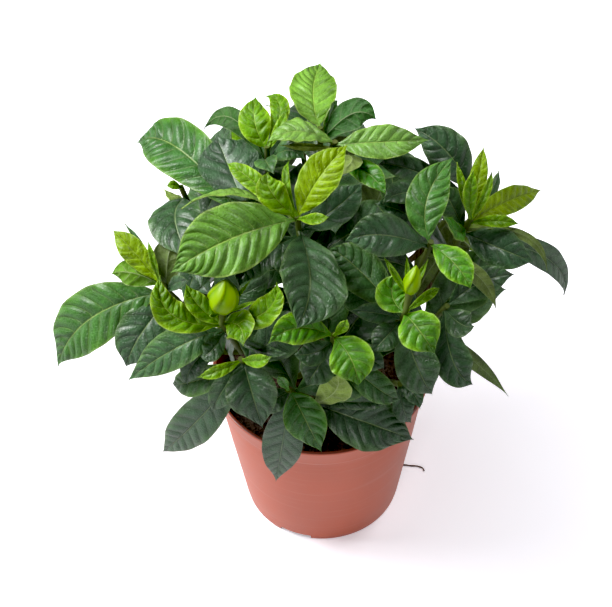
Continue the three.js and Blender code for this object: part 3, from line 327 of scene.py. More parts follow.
# How each solid leaf was bent clear of its neighbours: tip, middle of the midrib and roll.
BENDS = [
    (sign * size, sign * size * middle, roll)
    for size in (0, 4, 8, 12, 17, 23)
    for sign in ((1, -1) if size else (1,))
    for middle in (0.5, 1, 0)
    for roll in (0, 14, -14)
]

BUD = {
    "ridges": 5, "ridge": 0.09, "twist": 1.3, "rings": 40, "around": 60, "ends": (0.012, 0.995),
    "widest": 0.85, "roundness": 0.8, "lap_rise": 1.6, "lap_edge": (0.86, 1), "lap_fall": 1.7,
    # Painted shade in the furrow beside each overlapping petal edge: how much of the light colour stays
    # there, and how far it turns to the leaves' green.
    "furrow": (0.05, 0.5), "furrow_shade_level": 0.25, "furrow_shade_green": 0.6,
    "sepal_fold": 20, "sepal_wave": 0.02, "sepal_bow": 2, "stalk": (1.5, 1.5, 1.7, 2.4), "stalk_steps": 12,
    "seed": 77,
}
SHARP_LEAF, SHARP_POT = math.radians(60), math.radians(35)

BUDS = {
    "bud_left": {
        "node": "flower_bud_left", "top": (225, 279.5), "lift": 8, "radius": 8.3, "stalk": 6.5,
        "sepals": [((251.8, 278.4), 3.5, 2), ((255.3, 301), 4, 4), ((210, 316), 3.5, 4)],
    },
    "bud_right": {
        "node": "flower_bud_right", "top": (416.5, 265.3), "lift": 6, "radius": 4.7, "stalk": 9,
        "sepals": [
            ((383.3, 256), 6, -2), ((388.4, 264.5), 6, 4), ((406.7, 255), 5, -6), ((428.3, 259.5), 6, 0),
        ],
    },
}


def linear(code):
    """An sRGB hex code as linear red, green, blue and alpha."""
    parts = [int(code[i:i + 2], 16) / 255 for i in (1, 3, 5)]
    return tuple(p / 12.92 if p <= 0.04045 else ((p + 0.055) / 1.055) ** 2.4 for p in parts) + (1.0,)


def unit(vector):
    return vector / np.linalg.norm(vector, axis=-1, keepdims=True)


def dot(a, b):
    return np.sum(a * b, axis=-1, keepdims=True)


def turned(vector, axis, angle):
    """A vector turned about a unit axis, by the right-hand rule."""
    along = axis * dot(axis, vector) * (1 - math.cos(angle))
    return vector * math.cos(angle) + np.cross(axis, vector) * math.sin(angle) + along


def mixed(a, b, share):
    return a + (b - a) * share


def smooth_step(low, high, x):
    t = np.clip((x - low) / (high - low), 0, 1)
    return t * t * (3 - 2 * t)


def random_from(seed):
    """The same short random sequence that places the solids' leaves."""
    state = seed

    def step():
        nonlocal state
        state = (state + 0x6D2B79F5) & 0xFFFFFFFF
        t = ((state ^ (state >> 15)) * (1 | state)) & 0xFFFFFFFF
        t = ((t + (((t ^ (t >> 7)) * (61 | t)) & 0xFFFFFFFF)) & 0xFFFFFFFF) ^ t
        return ((t ^ (t >> 14)) & 0xFFFFFFFF) / 4294967296

    return step


def view_axes():
    """The photograph's right, up and back directions and its eye."""
    level = np.array([1.0, 0.0, 0.0])
    rise = np.array([0.0, math.sin(VIEW["pitch"]), math.cos(VIEW["pitch"])])
    right = level * math.cos(VIEW["roll"]) + rise * math.sin(VIEW["roll"])
    up = rise * math.cos(VIEW["roll"]) - level * math.sin(VIEW["roll"])
    back = np.array([0.0, -math.cos(VIEW["pitch"]), math.sin(VIEW["pitch"])])
    return right, up, back, VIEW["aim"] + back * VIEW["distance"]


RIGHT, UP, BACKWARDS, EYE = view_axes()


def ray_of(pixel):
    x = (pixel[0] - VIEW["centre"][0]) / VIEW["focal"]
    y = (VIEW["centre"][1] - pixel[1]) / VIEW["focal"]
    return RIGHT * x + UP * y - BACKWARDS


def point_at(pixel, depth):
    return EYE + ray_of(pixel) * (VIEW["distance"] - depth)


def depth_of(point):
    return float(np.dot(point - VIEW["aim"], BACKWARDS))


def pixel_of(point):
    away = point - EYE
    scale = VIEW["focal"] / -np.dot(away, BACKWARDS)
    return VIEW["centre"][0] + np.dot(away, RIGHT) * scale, VIEW["centre"][1] - np.dot(away, UP) * scale


def crown_depth(pixel):
    """The depth at which a pixel's ray meets the crown, or passes it closest."""
    away = (EYE - CROWN_CENTRE) / CROWN_REACH
    along = ray_of(pixel) / CROWN_REACH
    a, b, c = np.dot(along, along), np.dot(away, along), np.dot(away, away) - 1
    drawn_in = SKIRT["depth"] * (max(pixel[1] - SKIRT["from_row"], 0) / SKIRT["rows"]) ** SKIRT["power"]
    return VIEW["distance"] + (b + math.sqrt(max(b * b - a * c, 0))) / a - drawn_in


def crown_normal(point):
    return unit((point - CROWN_CENTRE) / CROWN_REACH / CROWN_REACH)


def shoot_line(crown, cutting):
    """A shoot's crown, the direction it grows in, and its green stem's foot and length."""
    fork = np.array(CUTTINGS[cutting]["fork"], float)
    away = crown - fork
    reach = np.linalg.norm(away)
    along = unit(unit(away) * STEM["away"] + np.array([0, 0, STEM["upwards"]]))
    length = min(max(reach * STEM["green_share"], STEM["shortest"]), STEM["longest"])
    return {"crown": crown, "along": along, "fork": fork, "foot": crown - along * length, "length": length}


def seen_line(row):
    crown = point_at(row["crown"], crown_depth(row["crown"]) + row["lift"])
    return {**shoot_line(crown, row["cutting"]), "out": crown_normal(crown)}


def round_line(turn, rise, cutting, rule):
    """The line of a shoot that is placed round the plant by a rule."""
    flat = math.sqrt(1 - rise ** 2)
    out = np.array([math.sin(math.radians(turn)) * flat, math.cos(math.radians(turn)) * flat, rise])
    crown = CROWN_CENTRE + out * CROWN_REACH * rule["depth"]
    line = shoot_line(crown, cutting)
    line["length"] = min(rule["stem"], STEM["most_of_way"] * np.linalg.norm(crown - line["fork"]))
    line["foot"] = crown - line["along"] * line["length"]
    return {**line, "out": out}


def seen_leaf(row, line, bend):
    """A row of the table as a blade in space, bent as its solid is."""
    tip_bend, mid_bend, roll_bend = bend
    base = line["crown"] - line["along"] * row["below"]
    tip_depth = crown_depth(row["tip"]) + row["lift"]
    mid_depth = (depth_of(base) + tip_depth) / 2 + row.get("bow", BLADE["bow"])
    tip = point_at(row["tip"], tip_depth + tip_bend)
    mid = point_at(row["mid"], mid_depth + mid_bend)
    chord = unit(tip - base)
    face = mixed(BACKWARDS, crown_normal(mid), BLADE["outward"])
    face = unit(face - chord * dot(face, chord))
    if row.get("under"):
        face = -face
    face = turned(face, chord, math.radians(row.get("roll", 0) + roll_bend))
    across = unit(np.cross(BACKWARDS, chord))
    facing = max(abs(float(np.dot(np.cross(chord, face), across))), BLADE["least_facing"])
    half = row["wide"] / 2 * (VIEW["distance"] - mid_depth) / VIEW["focal"] / facing
    return {
        "base": base, "mid": mid, "tip": tip, "face": face, "half": half, "plain": False,
        "fold": row.get("fold", BLADE["fold"]), "wave": row.get("wave", BLADE["wave"]),
        "phase": row["tip"][0] + row["tip"][1],
    }


def rule_leaves(rule, line, seed, young):
    """Opposite pairs of leaves down a stem from its crown, each pair turned a quarter from the last."""
    draw = random_from(rule["seed"] + seed)
    lean = unit(mixed(line["along"], line["out"], 0.5))
    side = unit(np.cross((0, 0, 1), lean))
    first = rule["first"] + (STEM["young_length"] if young else 0)
    for pair in range(-1 if young else 0, rule["pairs"]):
        kind = YOUNG_PAIR if pair < 0 else rule
        below = YOUNG_PAIR["first"] if pair < 0 else first + rule["step"] * pair
        start = RULED["start_varies"] * draw() + 90 * pair
        for half in (0, 180):
            turn = start + half + RULED["turn_varies"] * (draw() - 0.5)
            around = turned(side, lean, math.radians(turn))
            opening = math.radians(kind["open"] + RULED["opening_varies"] * (draw() - 0.5))
            way = lean * math.cos(opening) + around * math.sin(opening)
            length = kind["length"] * (RULED["shortest"] + RULED["longer"] * draw())
            wide = RULED["narrowest"] + RULED["wider"] * draw()
            phase = RULED["phases"] * draw()
            if below <= line["length"] - RULED["clear_of_foot"]:
                yield {
                    "young": pair < 0, "below": below, "way": way, "lean": lean,
                    "length": length, "wide": wide, "phase": phase,
                }


def rule_leaf(row, line, bend):
    tip_bend, _, roll_bend = bend
    up = np.array([0.0, 0.0, 1.0])
    base = line["crown"] - line["along"] * row["below"]
    way = unit(row["way"] + row["lean"] * (tip_bend / RULED["bend_per"]))
    length = row["length"]
    tip = base + way * (length * RULED["reach"]) - up * (RULED["hang"] * length)
    mid = base + way * (length / 2) + up * (RULED["arch"] * length)
    face = unit(row["lean"] - way * dot(row["lean"], way))
    face = turned(unit(face + up * RULED["upwards"]), way, math.radians(roll_bend))
    return {
        "base": base, "mid": mid, "tip": tip, "face": face, "half": row["wide"] * length / 2,
        "fold": BLADE["fold"], "wave": BLADE["wave"], "phase": row["phase"], "plain": True,
    }


def blade_outline(s):
    """Half the blade's width along it, as a share of the widest."""
    t = np.maximum(s - BLADE["petiole_share"], 0) / (1 - BLADE["petiole_share"])
    oval = np.sin(np.pi * np.minimum(t ** BLADE["fullest"], 1)) ** BLADE["roundness"]
    return oval * (1 - BLADE["narrows"] * t ** BLADE["narrow_power"])


def pointed_outline(s):
    """The same outline, drawn in towards the tip as the finer blade can be."""
    t = np.clip((s - BLADE["petiole_share"]) / (1 - BLADE["petiole_share"]), 0, 1)
    return blade_outline(s) * np.maximum(np.sin(np.pi * t), 0) ** (BLADE["point"] * t ** 4)


def midrib(blade, s):
    """Points, directions, faces and sides along the midrib, which runs through base, mid and tip."""
    base, mid, tip = blade["base"], blade["mid"], blade["tip"]
    pull = 2 * mid - 0.5 * base - 0.5 * tip
    s = np.asarray(s, float)[..., None]
    point = base * (1 - s) ** 2 + pull * 2 * s * (1 - s) + tip * s ** 2
    along = unit((pull - base) * (1 - s) + (tip - pull) * s)
    face = blade["face"] - along * dot(blade["face"], along)
    face = unit(face)
    return point, along, face, np.cross(along, face)


def blade_rise(blade, s, u, half):
    """How far a blade stands above its midrib's plane at u across it, from -1 to 1."""
    valley = math.tan(math.radians(blade["fold"])) * np.abs(u) - BLADE["curl"] * u * u
    turn = 2 * np.pi * BLADE["waves"] * s + np.where(u > 0, 0, 2) + blade["phase"]
    return half * (valley + blade["wave"] * np.abs(u) * np.sin(turn))


def key_points(blade):
    """The solid blade's tip and the ends of its stations, which its node's mesh holds."""
    s = np.repeat(PLAIN_STATIONS if blade["plain"] else STATIONS, 2)
    u = np.tile([-1.0, 1.0], len(s) // 2)
    point, _, face, side = midrib(blade, s)
    half = np.maximum(blade["half"] * blade_outline(s), BLADE["petiole"])
    rim = point + side * (u * half)[:, None] + face * blade_rise(blade, s, u, half)[:, None]
    return np.vstack([blade["tip"], rim])


def tree_of(node):
    """A search tree of a solid's vertices, in millimetres from the pot's middle."""
    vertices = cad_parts[node].data.vertices
    tree = kdtree.KDTree(len(vertices))
    for i, vertex in enumerate(vertices):
        tree.insert(Vector(vertex.co) / MM - Vector(SHIFT), i)
    tree.balance()
    return tree


# How near a vertex of the solid lies to a blade's key point, in millimetres, and how many of them must.
MATCH = 0.05
LEAST_MATCHED = 0.55
TREES = {}


def fitted(node, make_blade):
    """The blade, bent as its solid is, or None where the solid has no such leaf."""
    if node not in TREES:
        TREES[node] = tree_of(node)
    best, most = None, 0
    for bend in BENDS:
        blade = make_blade(bend)
        points = key_points(blade)
        found = sum(TREES[node].find(Vector(p))[2] < MATCH for p in points) / len(points)
        if found > most:
            best, most = blade, found
    return best if most > LEAST_MATCHED else None


def keeps_inside(blade, margin):
    x, y = pixel_of(blade["tip"])
    across = (x - OUTLINE["centre"][0]) / OUTLINE["reach"][0]
    down = (y - OUTLINE["centre"][1]) / OUTLINE["reach"][1]
    if math.hypot(across, down) > 1:
        return False
    if any(math.hypot(x - left, y - top) < radius for left, top, radius in OUTLINE["bays"]):
        return False
    for point in (blade["mid"], blade["tip"]):
        share = np.linalg.norm((point - CROWN_CENTRE) / CROWN_REACH)
        if share >= 1 - margin / CROWN_REACH[2] or depth_of(point) >= crown_depth(pixel_of(point)) - margin:
            return False
    return True


def blade_heights(blade, sizes, s, u, half, order, age):
    """How far the top of a fine blade stands above its midrib's plane: its fold, frill and quilting."""
    frill = mixed(*FINE["frill"], age) * np.abs(u) ** 3
    waves = np.sin(2 * np.pi * FINE["frills"] * s + 3 * np.sign(u) + blade["phase"])
    rise = blade_rise(blade, s, u, half) + half * frill * waves
    inside = smooth_step(*FINE["from_midrib"], np.abs(u)) * (1 - smooth_step(*FINE["to_margin"], np.abs(u)))
    ends = smooth_step(*FINE["from_foot"], s) * (1 - smooth_step(*FINE["to_tip"], s))
    swell = 1 + FINE["swell"] * np.sin(FINE["swell_step"] * np.floor(order) + 4 * np.sign(u) + blade["phase"])
    puff = np.abs(np.sin(np.pi * order)) ** FINE["plump"] * swell - FINE["base_level"]
    depth = FINE["depth"] + FINE["deeper"] * smooth_step(0, FINE["young_until"], age)
    depth = sizes.quilt_depth * (depth - FINE["flattened"] * age ** 3)
    return rise + depth * blade["half"] * (puff * inside * ends), ends


def blade_mesh(blade, sizes, tone, under_tone, edge_tone, age):
    """A thin closed blade, quilted between its lateral veins, as points, quads, pattern places, colours
    and age. An old leaf has flattened, with its veins further apart than a new one's."""
    length = np.linalg.norm(blade["mid"] - blade["base"]) + np.linalg.norm(blade["tip"] - blade["mid"])
    spacing = sizes.vein_spacing / MM * mixed(*FINE["spacing"], age)
    veins = int(np.clip(round(length / spacing), *FINE["veins"]))
    rows = veins * FINE["plain_rows" if blade["plain"] else "rows"]
    spread = PLAIN_ACROSS if blade["plain"] else ACROSS
    columns = np.concatenate([-spread[:0:-1], spread])
    sigma, u = np.meshgrid(np.arange(rows + 1) / rows, columns, indexing="ij")
    slant = min(FINE["slant"] * blade["half"] / length, FINE["most_slant"])
    sweep = FINE["slant_straight"] * np.abs(u) + FINE["slant_curved"] * u * u
    s = sigma + slant * sweep * np.sin(np.pi * sigma)
    point, _, face, side = midrib(blade, s)
    petiole = BLADE["petiole"] * (1 - smooth_step(*FINE["petiole"], s))
    half = np.maximum(blade["half"] * pointed_outline(s), np.maximum(petiole, FINE["least_half"]))
    uneven = FINE["uneven"] * np.sin(2 * np.pi * FINE["uneven_waves"] * sigma + blade["phase"])
    alternate = FINE["alternate"] * np.sign(u) * smooth_step(*FINE["beside_midrib"], np.abs(u))
    order = veins * (sigma + uneven) + alternate
    rise, ends = blade_heights(blade, sizes, s, u, half, order, age)
    groove = FINE["groove"] * np.exp(-(u * half / FINE["groove_wide"]) ** 2) * ends
    stalk = 1 - smooth_step(*FINE["stalk"], s)
    thick = sizes.leaf_thickness / MM + FINE["stalk_thick"] * stalk
    rib = FINE["rib"] * (1 - FINE["rib_thins"] * s) * np.exp(-(u * half / FINE["rib_wide"]) ** 2)
    middle = point + side * (u * half)[..., None]
    top = middle + face * (rise + thick / 2 - groove)[..., None]
    bottom = middle + face * (rise - thick / 2 - rib * (1 - stalk))[..., None]
    points = np.concatenate([top.reshape(-1, 3), bottom.reshape(-1, 3)])
    quads, under = blade_quads(*sigma.shape)
    place = np.stack([u / 2 + 0.5, order], axis=-1).reshape(-1, 2)
    edge = (FINE["edge_share"] * smooth_step(*FINE["edge"], np.abs(u)))[..., None]
    upper = mixed(np.array(tone), np.array(edge_tone), edge).reshape(-1, 4)
    paint = np.concatenate([upper, np.broadcast_to(np.array(under_tone), upper.shape)])
    return points, quads, under, np.tile(place, (2, 1)), paint, np.full(len(points), age)


def blade_quads(n, m):
    """Faces of a thin closed sheet whose two sides are grids of n by m points, and which ones are below."""
    at = np.arange(n * m).reshape(n, m)
    low = at + n * m
    a, b, c, d = at[:-1, :-1], at[:-1, 1:], at[1:, 1:], at[1:, :-1]
    upper = np.stack([a, b, c, d], axis=-1).reshape(-1, 4)
    under = np.stack([a, d, c, b], axis=-1).reshape(-1, 4) + n * m
    left = np.stack([at[:-1, 0], at[1:, 0], low[1:, 0], low[:-1, 0]], axis=-1)
    right = np.stack([at[:-1, -1], low[:-1, -1], low[1:, -1], at[1:, -1]], axis=-1)
    foot = np.stack([at[0, :-1], low[0, :-1], low[0, 1:], at[0, 1:]], axis=-1)
    end = np.stack([at[-1, :-1], at[-1, 1:], low[-1, 1:], low[-1, :-1]], axis=-1)
    faces = np.concatenate([upper, left, right, foot, end, under])
    return faces, np.arange(len(faces)) >= len(faces) - len(under)


# Settings that nodes share, and the space that each takes in its editor.
SMOOTH = {"interpolation_type": "SMOOTHSTEP"}
ABSOLUTE, ADD, LENGTH, MAXIMUM, MULTIPLY, MULTIPLY_ADD, PINGPONG, SCALE, SUBTRACT = (
    {"operation": name} for name in (
        "ABSOLUTE", "ADD", "LENGTH", "MAXIMUM", "MULTIPLY", "MULTIPLY_ADD", "PINGPONG", "SCALE", "SUBTRACT",
    )
)
COLOURS, VECTORS = {"data_type": "RGBA"}, {"data_type": "FLOAT_VECTOR"}
COLUMN, ROW = 200, 180


def add_node(tree, kind, settings=None, *values, **named):
    """A node with its settings, and values or links for its inputs, in order or by name. A node given for
    an input stands for its first output in use. Kinds of shader node are given without their prefix."""
    whole = kind.startswith(("Geometry", "Function", "NodeGroup"))
    node = tree.nodes.new(kind if whole else "ShaderNode" + kind)
    for name, value in (settings or {}).items():
        setattr(node, name, value)
    inputs = list(zip((socket for socket in node.inputs if socket.enabled), values))
    inputs += [(node.inputs[name.replace("_", " ")], value) for name, value in named.items()]
    for socket, value in inputs:
        if isinstance(value, bpy.types.Node):
            value = next(output for output in value.outputs if output.enabled)
        if isinstance(value, bpy.types.NodeSocket):
            tree.links.new(value, socket)
            node.location.x = max(node.location.x, value.node.location.x + COLUMN)
        else:
            socket.default_value = value
    node.location.y = -ROW * sum(other.location.x == node.location.x for other in tree.nodes)
    return node


def new_material(name):
    """A material with an empty tree, what adds nodes to it, and its object coordinates in metres."""
    material = bpy.data.materials.new(name)
    material.use_nodes = True
    material.node_tree.nodes.clear()
    add = partial(add_node, material.node_tree)
    return material, add, add("TexCoord").outputs["Object"]


def close_tree(add, **surface):
    """Ends a material's tree with its shader and output."""
    add("OutputMaterial", None, add("BsdfPrincipled", None, **surface))


def colour_of(name):
    return tuple(getattr(bpy.context.scene.gardenia_colours, name))


# Marks on a leaf: from and to where each runs, and its strength at both ends.
MARKS = {
    # Across the blade, where the midrib is at 0 and the margin at 0.5.
    "midrib": (0.004, 0.022, 1.0, 0.0),
    "laterals_fade": (0.1, 0.5, 0.7, 0.15),
    "margin": (0.46, 0.485, 0.0, 1.1),
    # Along it, where a lateral vein is at 0 and the middle between two of them at 0.5.
    "lateral": (0.015, 0.065, 0.95, 0.0),
    "beside_lateral": (0.02, 0.3, 0.2, 0.0),
    "swelling": (0.03, 0.42, 0.5, -0.5),
    # With age, where the newest leaf is at 0 and the oldest at 1.
    "pale_veins": (0.0, 0.9, 1.0, 0.1),
    # Paler veins on a new leaf; painted shade in the vein grooves and painted light between them on an old
    # one.
    "vein_tone_to_groove_shade": (0.0, 1.0, 0.22, -0.4),
    "mirroring": (0.0, 1.0, 0.15, 0.55),
    # Over noise, and away from the walls or middles of cells.
    "shade": (0.3, 0.7, 0.7, 1.3),
    "net": (0.0, 0.3, 1.12, 0.9),
    "net_relief": (0.0, 0.15, 0.0, 0.8),
    "drop": (0.05, 0.11, 0.5, 0.0),
    "splashed": (0.55, 0.62, 0.0, 1.0),
}

# Grains of noise to a metre: patches of 7 mm from sun and age, puckers of 3 mm, the net of small veins
# with cells under 2 mm across, and water drops of half a millimetre, 4 mm apart.
GRAIN = {"patches": 140.0, "puckers": 330.0, "net": 560.0, "drops": 230.0}
RELIEF = {"puckers": 3.0, "veins": -2.2, "height": 0.0003}


def vein_marks(add, age, strength):
    """How pale a leaf is on its veins and margin, how deep its grooves are, and how its colour changes
    between veins: a young leaf is darker between its veins as its tone, while an old leaf gets painted shade
    in its vein grooves and painted light on the swellings between them.
    """
    blade = add("SeparateXYZ", None, add("UVMap", {"uv_map": "blade"}))
    across = add("Math", ABSOLUTE, add("Math", SUBTRACT, blade.outputs["X"], 0.5))
    nearest = add("Math", PINGPONG, blade.outputs["Y"], 0.5)
    midrib_mark = add("MapRange", SMOOTH, across, *MARKS["midrib"])
    line = add("MapRange", SMOOTH, nearest, *MARKS["lateral"])
    band = add("MapRange", SMOOTH, nearest, *MARKS["beside_lateral"])
    fade = add("MapRange", None, across, *MARKS["laterals_fade"])
    lateral = add("Math", MULTIPLY, add("Math", ADD, line, band), fade)
    groove = add("Math", MAXIMUM, midrib_mark, lateral)
    youth = add("MapRange", None, age, *MARKS["pale_veins"])
    drawn = add("Math", MULTIPLY, lateral, youth)
    veins = add("Math", MAXIMUM, midrib_mark, drawn)
    rim = add("Math", MULTIPLY, add("MapRange", None, across, *MARKS["margin"]), youth)
    pale = add("Math", MAXIMUM, veins, rim)
    pale = add("Math", {**MULTIPLY, "use_clamp": True}, pale, strength)
    swelling = add("MapRange", SMOOTH, nearest, *MARKS["swelling"])
    # Painted shade in an old leaf's vein grooves and painted light on its swellings; on a young leaf the
    # veins are paler instead.
    groove_shade_by_age = add("MapRange", None, age, *MARKS["vein_tone_to_groove_shade"])
    return pale, groove, add("Math", MULTIPLY_ADD, swelling, groove_shade_by_age, 1.0)


def leaf_material(name, rough, vein_colour, vein_strength, relief, coat):
    """Waxy cuticle over green cells: a broad soft gloss that breaks up over the quilted blade. Midrib and
    margin are paler. A young leaf's lateral veins are paler too; an old leaf's lie in grooves darkened by
    painted shade, with painted light on the swellings between them."""
    material, add, where = new_material(name)
    age = add("Attribute", {"attribute_name": "leaf_age"}).outputs["Fac"]
    pale, groove, vein_tone_and_groove_shade = vein_marks(add, age, vein_strength)
    patches = add("TexNoise", None, Vector=where, Scale=GRAIN["patches"], Detail=4.0)
    shade = add("MapRange", None, patches, *MARKS["shade"])
    net = add("TexVoronoi", {"feature": "DISTANCE_TO_EDGE"}, Vector=where, Scale=GRAIN["net"])
    cell = add("MapRange", None, net, *MARKS["net"])
    value = add("Math", MULTIPLY, add("Math", MULTIPLY, shade, vein_tone_and_groove_shade), cell)
    colour = add("VertexColor", {"layer_name": "leaf_colour"})
    tinted = add("HueSaturation", None, Color=colour, Value=value)
    vein = add("Mix", COLOURS, age, linear(vein_colour), linear("#8ba279"))
    veined = add("Mix", COLOURS, pale, tinted, vein)
    # Dried water drops, here and there on leaves that have been out for long.
    drops = add("TexVoronoi", None, Vector=where, Scale=GRAIN["drops"])
    drop = add("MapRange", None, drops, *MARKS["drop"])
    splashed = add("MapRange", None, patches, *MARKS["splashed"])
    spots = add("Math", MULTIPLY, add("Math", MULTIPLY, drop, splashed), age)
    spotted = add("Mix", COLOURS, spots, veined, linear("#a9b5a0"))
    puckers = add("TexNoise", None, Vector=where, Scale=GRAIN["puckers"], Detail=3.0)
    raised = add("MapRange", None, net, *MARKS["net_relief"])
    skin = add("Math", MULTIPLY_ADD, puckers, RELIEF["puckers"], raised)
    sunk = add("Math", MULTIPLY_ADD, groove, RELIEF["veins"], skin)
    gloss = add("MapRange", None, patches, *MARKS["shade"][:2], *rough)
    close_tree(
        add, Base_Color=spotted, Roughness=gloss, IOR=1.45, Coat_Roughness=0.32,
        Normal=add("Bump", None, Strength=relief, Distance=RELIEF["height"], Height=sunk),
        Specular_IOR_Level=add("MapRange", None, age, *MARKS["mirroring"]),
        Coat_Weight=add("MapRange", None, age, 0.0, 1.0, 0.5 * coat, coat),
    )
    return material


def leaf_top_material():
    return leaf_material(
        "waxy_leaf_cuticle", rough=(0.34, 0.5), vein_colour="#aecb52", vein_strength=0.6, relief=0.8,
        coat=0.5,
    )


def leaf_under_material():
    """The underside is matt and paler, with raised veins."""
    return leaf_material(
        "matt_leaf_underside", rough=(0.49, 0.65), vein_colour="#c3cf92", vein_strength=0.6, relief=0.6,
        coat=0.0,
    )


def mottled_material(name, low, high, grain, detail=2.0, span=(0.0, 1.0), relief=None, **surface):
    """Two colours mixed by noise with so many grains to a metre along each axis, over its given span, and
    in relief of the given strength and height in metres."""
    material, add, where = new_material(name)
    stretch = add("Mapping", None, Vector=where, Scale=grain)
    grains = add("TexNoise", None, Vector=stretch, Scale=1.0, Detail=detail)
    share = add("MapRange", None, grains, *span)
    if relief:
        surface["Normal"] = add("Bump", None, Strength=relief[0], Distance=relief[1], Height=grains)
    close_tree(add, Base_Color=add("Mix", COLOURS, share, low, high), **surface)
    return material


def stem_material():
    """Smooth green epidermis, a little browner in patches where bark begins."""
    return mottled_material(
        "green_stem_skin", colour_of("stem"), linear("#5b5a32"), (160, 160, 160),
        Roughness=0.6, Specular_IOR_Level=0.15,
    )


def bark_material():
    """Grey-brown young bark with long shallow cracks along the stem."""
    return mottled_material(
        "young_shrub_bark", linear("#3a2c20"), colour_of("bark"), (700, 700, 90), detail=5.0,
        span=(0.35, 0.65), relief=(0.7, 0.0005), Roughness=0.8, Specular_IOR_Level=0.2,
    )


def soil_material():
    """Moist peat mix: near black, dull, with paler fibres."""
    return mottled_material(
        "moist_peat_mix", colour_of("soil"), linear("#5a4433"), (420, 420, 420), detail=6.0,
        span=(0.4, 0.72), relief=(0.9, 0.001), Roughness=0.9,
    )


def root_material():
    """A dry thin root: brown, dull, a little paler along its skin."""
    return mottled_material(
        "dry_root_skin", linear("#3d2a20"), linear("#7a5c48"), (500, 500, 500), Roughness=0.8,
    )


# Grains of noise to a metre on the pot, and marks as on a leaf.
POT_GRAIN = {"clouds": 25.0, "scuffs": (90, 90, 240), "rings": (12, 12, 420), "skin": 900.0}

POT_MARKS = {
    "clouds": (0.3, 0.7, 0.96, 1.04), "scuffs": (0.67, 0.78, 0.0, 0.8), "rings": (0.55, 0.8, 0.0, 0.14),
    # Painted shade on the inside of the wall here, and on the next line a dark line along the top of the lip.
    "inside_shade": (0.85, 1.05, 0.0, 0.85), "gloss": (0.3, 0.7, 0.42, 0.5),
    "lip_top_dark": ((POT["height"] - 0.5) * MM, (POT["height"] - 0.1) * MM, 0.0, 0.8),
}


def pot_inside_shade_and_lip_line(add, where):
    """Painted shade inside the pot, where its wall lies in shadow, and a dark line along the top of the lip.
    The wall widens evenly upwards, so the painted shade lies where a point is nearer the axis than its
    outside; the line is on top of the lip."""
    to_axis = (-SHIFT[0], -SHIFT[1], 0)
    flat = add("VectorMath", MULTIPLY_ADD, where, (1 / MM, 1 / MM, 0), to_axis)
    height = add("SeparateXYZ", None, where).outputs["Z"]
    widening = (pot_wall(POT["height"]) - pot_wall(0)) / POT["height"] / MM
    outside = add("Math", MULTIPLY_ADD, height, widening, pot_wall(0))
    inward = add("Math", SUBTRACT, outside, add("VectorMath", LENGTH, flat))
    inside = add("MapRange", None, inward, *POT_MARKS["inside_shade"])
    return add("Math", MAXIMUM, inside, add("MapRange", None, height, *POT_MARKS["lip_top_dark"]))


def pot_material():
    """Injection-moulded polypropylene in terracotta: a smooth satin skin with a broad soft highlight, faint
    rings from rubbing in a stack, a few pale scuffs, and painted shade, dark brown, inside the pot, with a
    dark line along the top of the lip."""
    material, add, where = new_material("terracotta_polypropylene")
    clouds = add("TexNoise", None, Vector=where, Scale=POT_GRAIN["clouds"], Detail=4.0)
    shade = add("MapRange", None, clouds, *POT_MARKS["clouds"])
    tinted = add("HueSaturation", None, Color=colour_of("pot"), Value=shade)
    # Scuffs some 10 mm long, and rings of a millimetre or two, each only part of the way round.
    lines = add("Mapping", None, Vector=where, Scale=POT_GRAIN["scuffs"])
    scuffs = add("TexNoise", None, Vector=lines, Scale=1.0, Detail=8.0, Roughness=0.7)
    rare = add("MapRange", None, scuffs, *POT_MARKS["scuffs"])
    around = add("Mapping", None, Vector=where, Scale=POT_GRAIN["rings"])
    rings = add("TexNoise", None, Vector=around, Scale=1.0, Detail=3.0)
    worn = add("Math", MAXIMUM, rare, add("MapRange", None, rings, *POT_MARKS["rings"]))
    scuffed = add("Mix", COLOURS, worn, tinted, linear("#e0b3a5"))
    # Painted shade, dark brown, inside the pot, and a dark line along the top of the lip.
    shaded_inside_and_lip = add("Mix", COLOURS, pot_inside_shade_and_lip_line(add, where), scuffed, linear("#4a1f16"))
    fine = add("TexNoise", None, Vector=where, Scale=POT_GRAIN["skin"])
    close_tree(
        add, Base_Color=shaded_inside_and_lip, IOR=1.49, Coat_Weight=0.4, Coat_Roughness=0.3,
        Roughness=add("MapRange", None, clouds, *POT_MARKS["gloss"]),
        Normal=add("Bump", None, Strength=0.12, Distance=0.0002, Height=fine),
    )
    return material


def bud_material():
    """Pale lime petals rolled in a spiral, satin, with painted shade, darker and greener, in the furrow
    beside each petal's overlapping edge.
    """
    material, add, where = new_material("rolled_bud_petals")
    skin = add("TexNoise", None, Vector=where, Scale=700.0)
    close_tree(
        add, Base_Color=add("VertexColor", {"layer_name": "leaf_colour"}),
        Normal=add("Bump", None, Strength=0.2, Distance=0.0002, Height=skin),
        Roughness=0.34, Specular_IOR_Level=0.25,
    )
    return material


MATERIALS = {
    "leaf_top": leaf_top_material, "leaf_under": leaf_under_material, "stem": stem_material,
    "bark": bark_material, "soil": soil_material, "pot": pot_material, "root": root_material,
    "bud": bud_material,
}
MADE_MATERIALS = {}


def material_of(name):
    if name not in MADE_MATERIALS:
        MADE_MATERIALS[name] = MATERIALS[name]()
    return MADE_MATERIALS[name]


def linked(name, mesh):
    piece = bpy.data.objects.new(name, mesh)
    bpy.context.scene.collection.objects.link(piece)
    return piece


def finish_piece(piece, slot, *nodes):
    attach(piece, "root")
    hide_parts(*nodes)


def in_metres(points):
    return (np.asarray(points, float) + SHIFT) * MM


def solid(name, points, faces, material=None):
    """A piece from points in millimetres and faces."""
    mesh = bpy.data.meshes.new(name)
    mesh.from_pydata(in_metres(points).tolist(), [], faces)
    if material:
        mesh.materials.append(material_of(material))
    return linked(name, mesh)


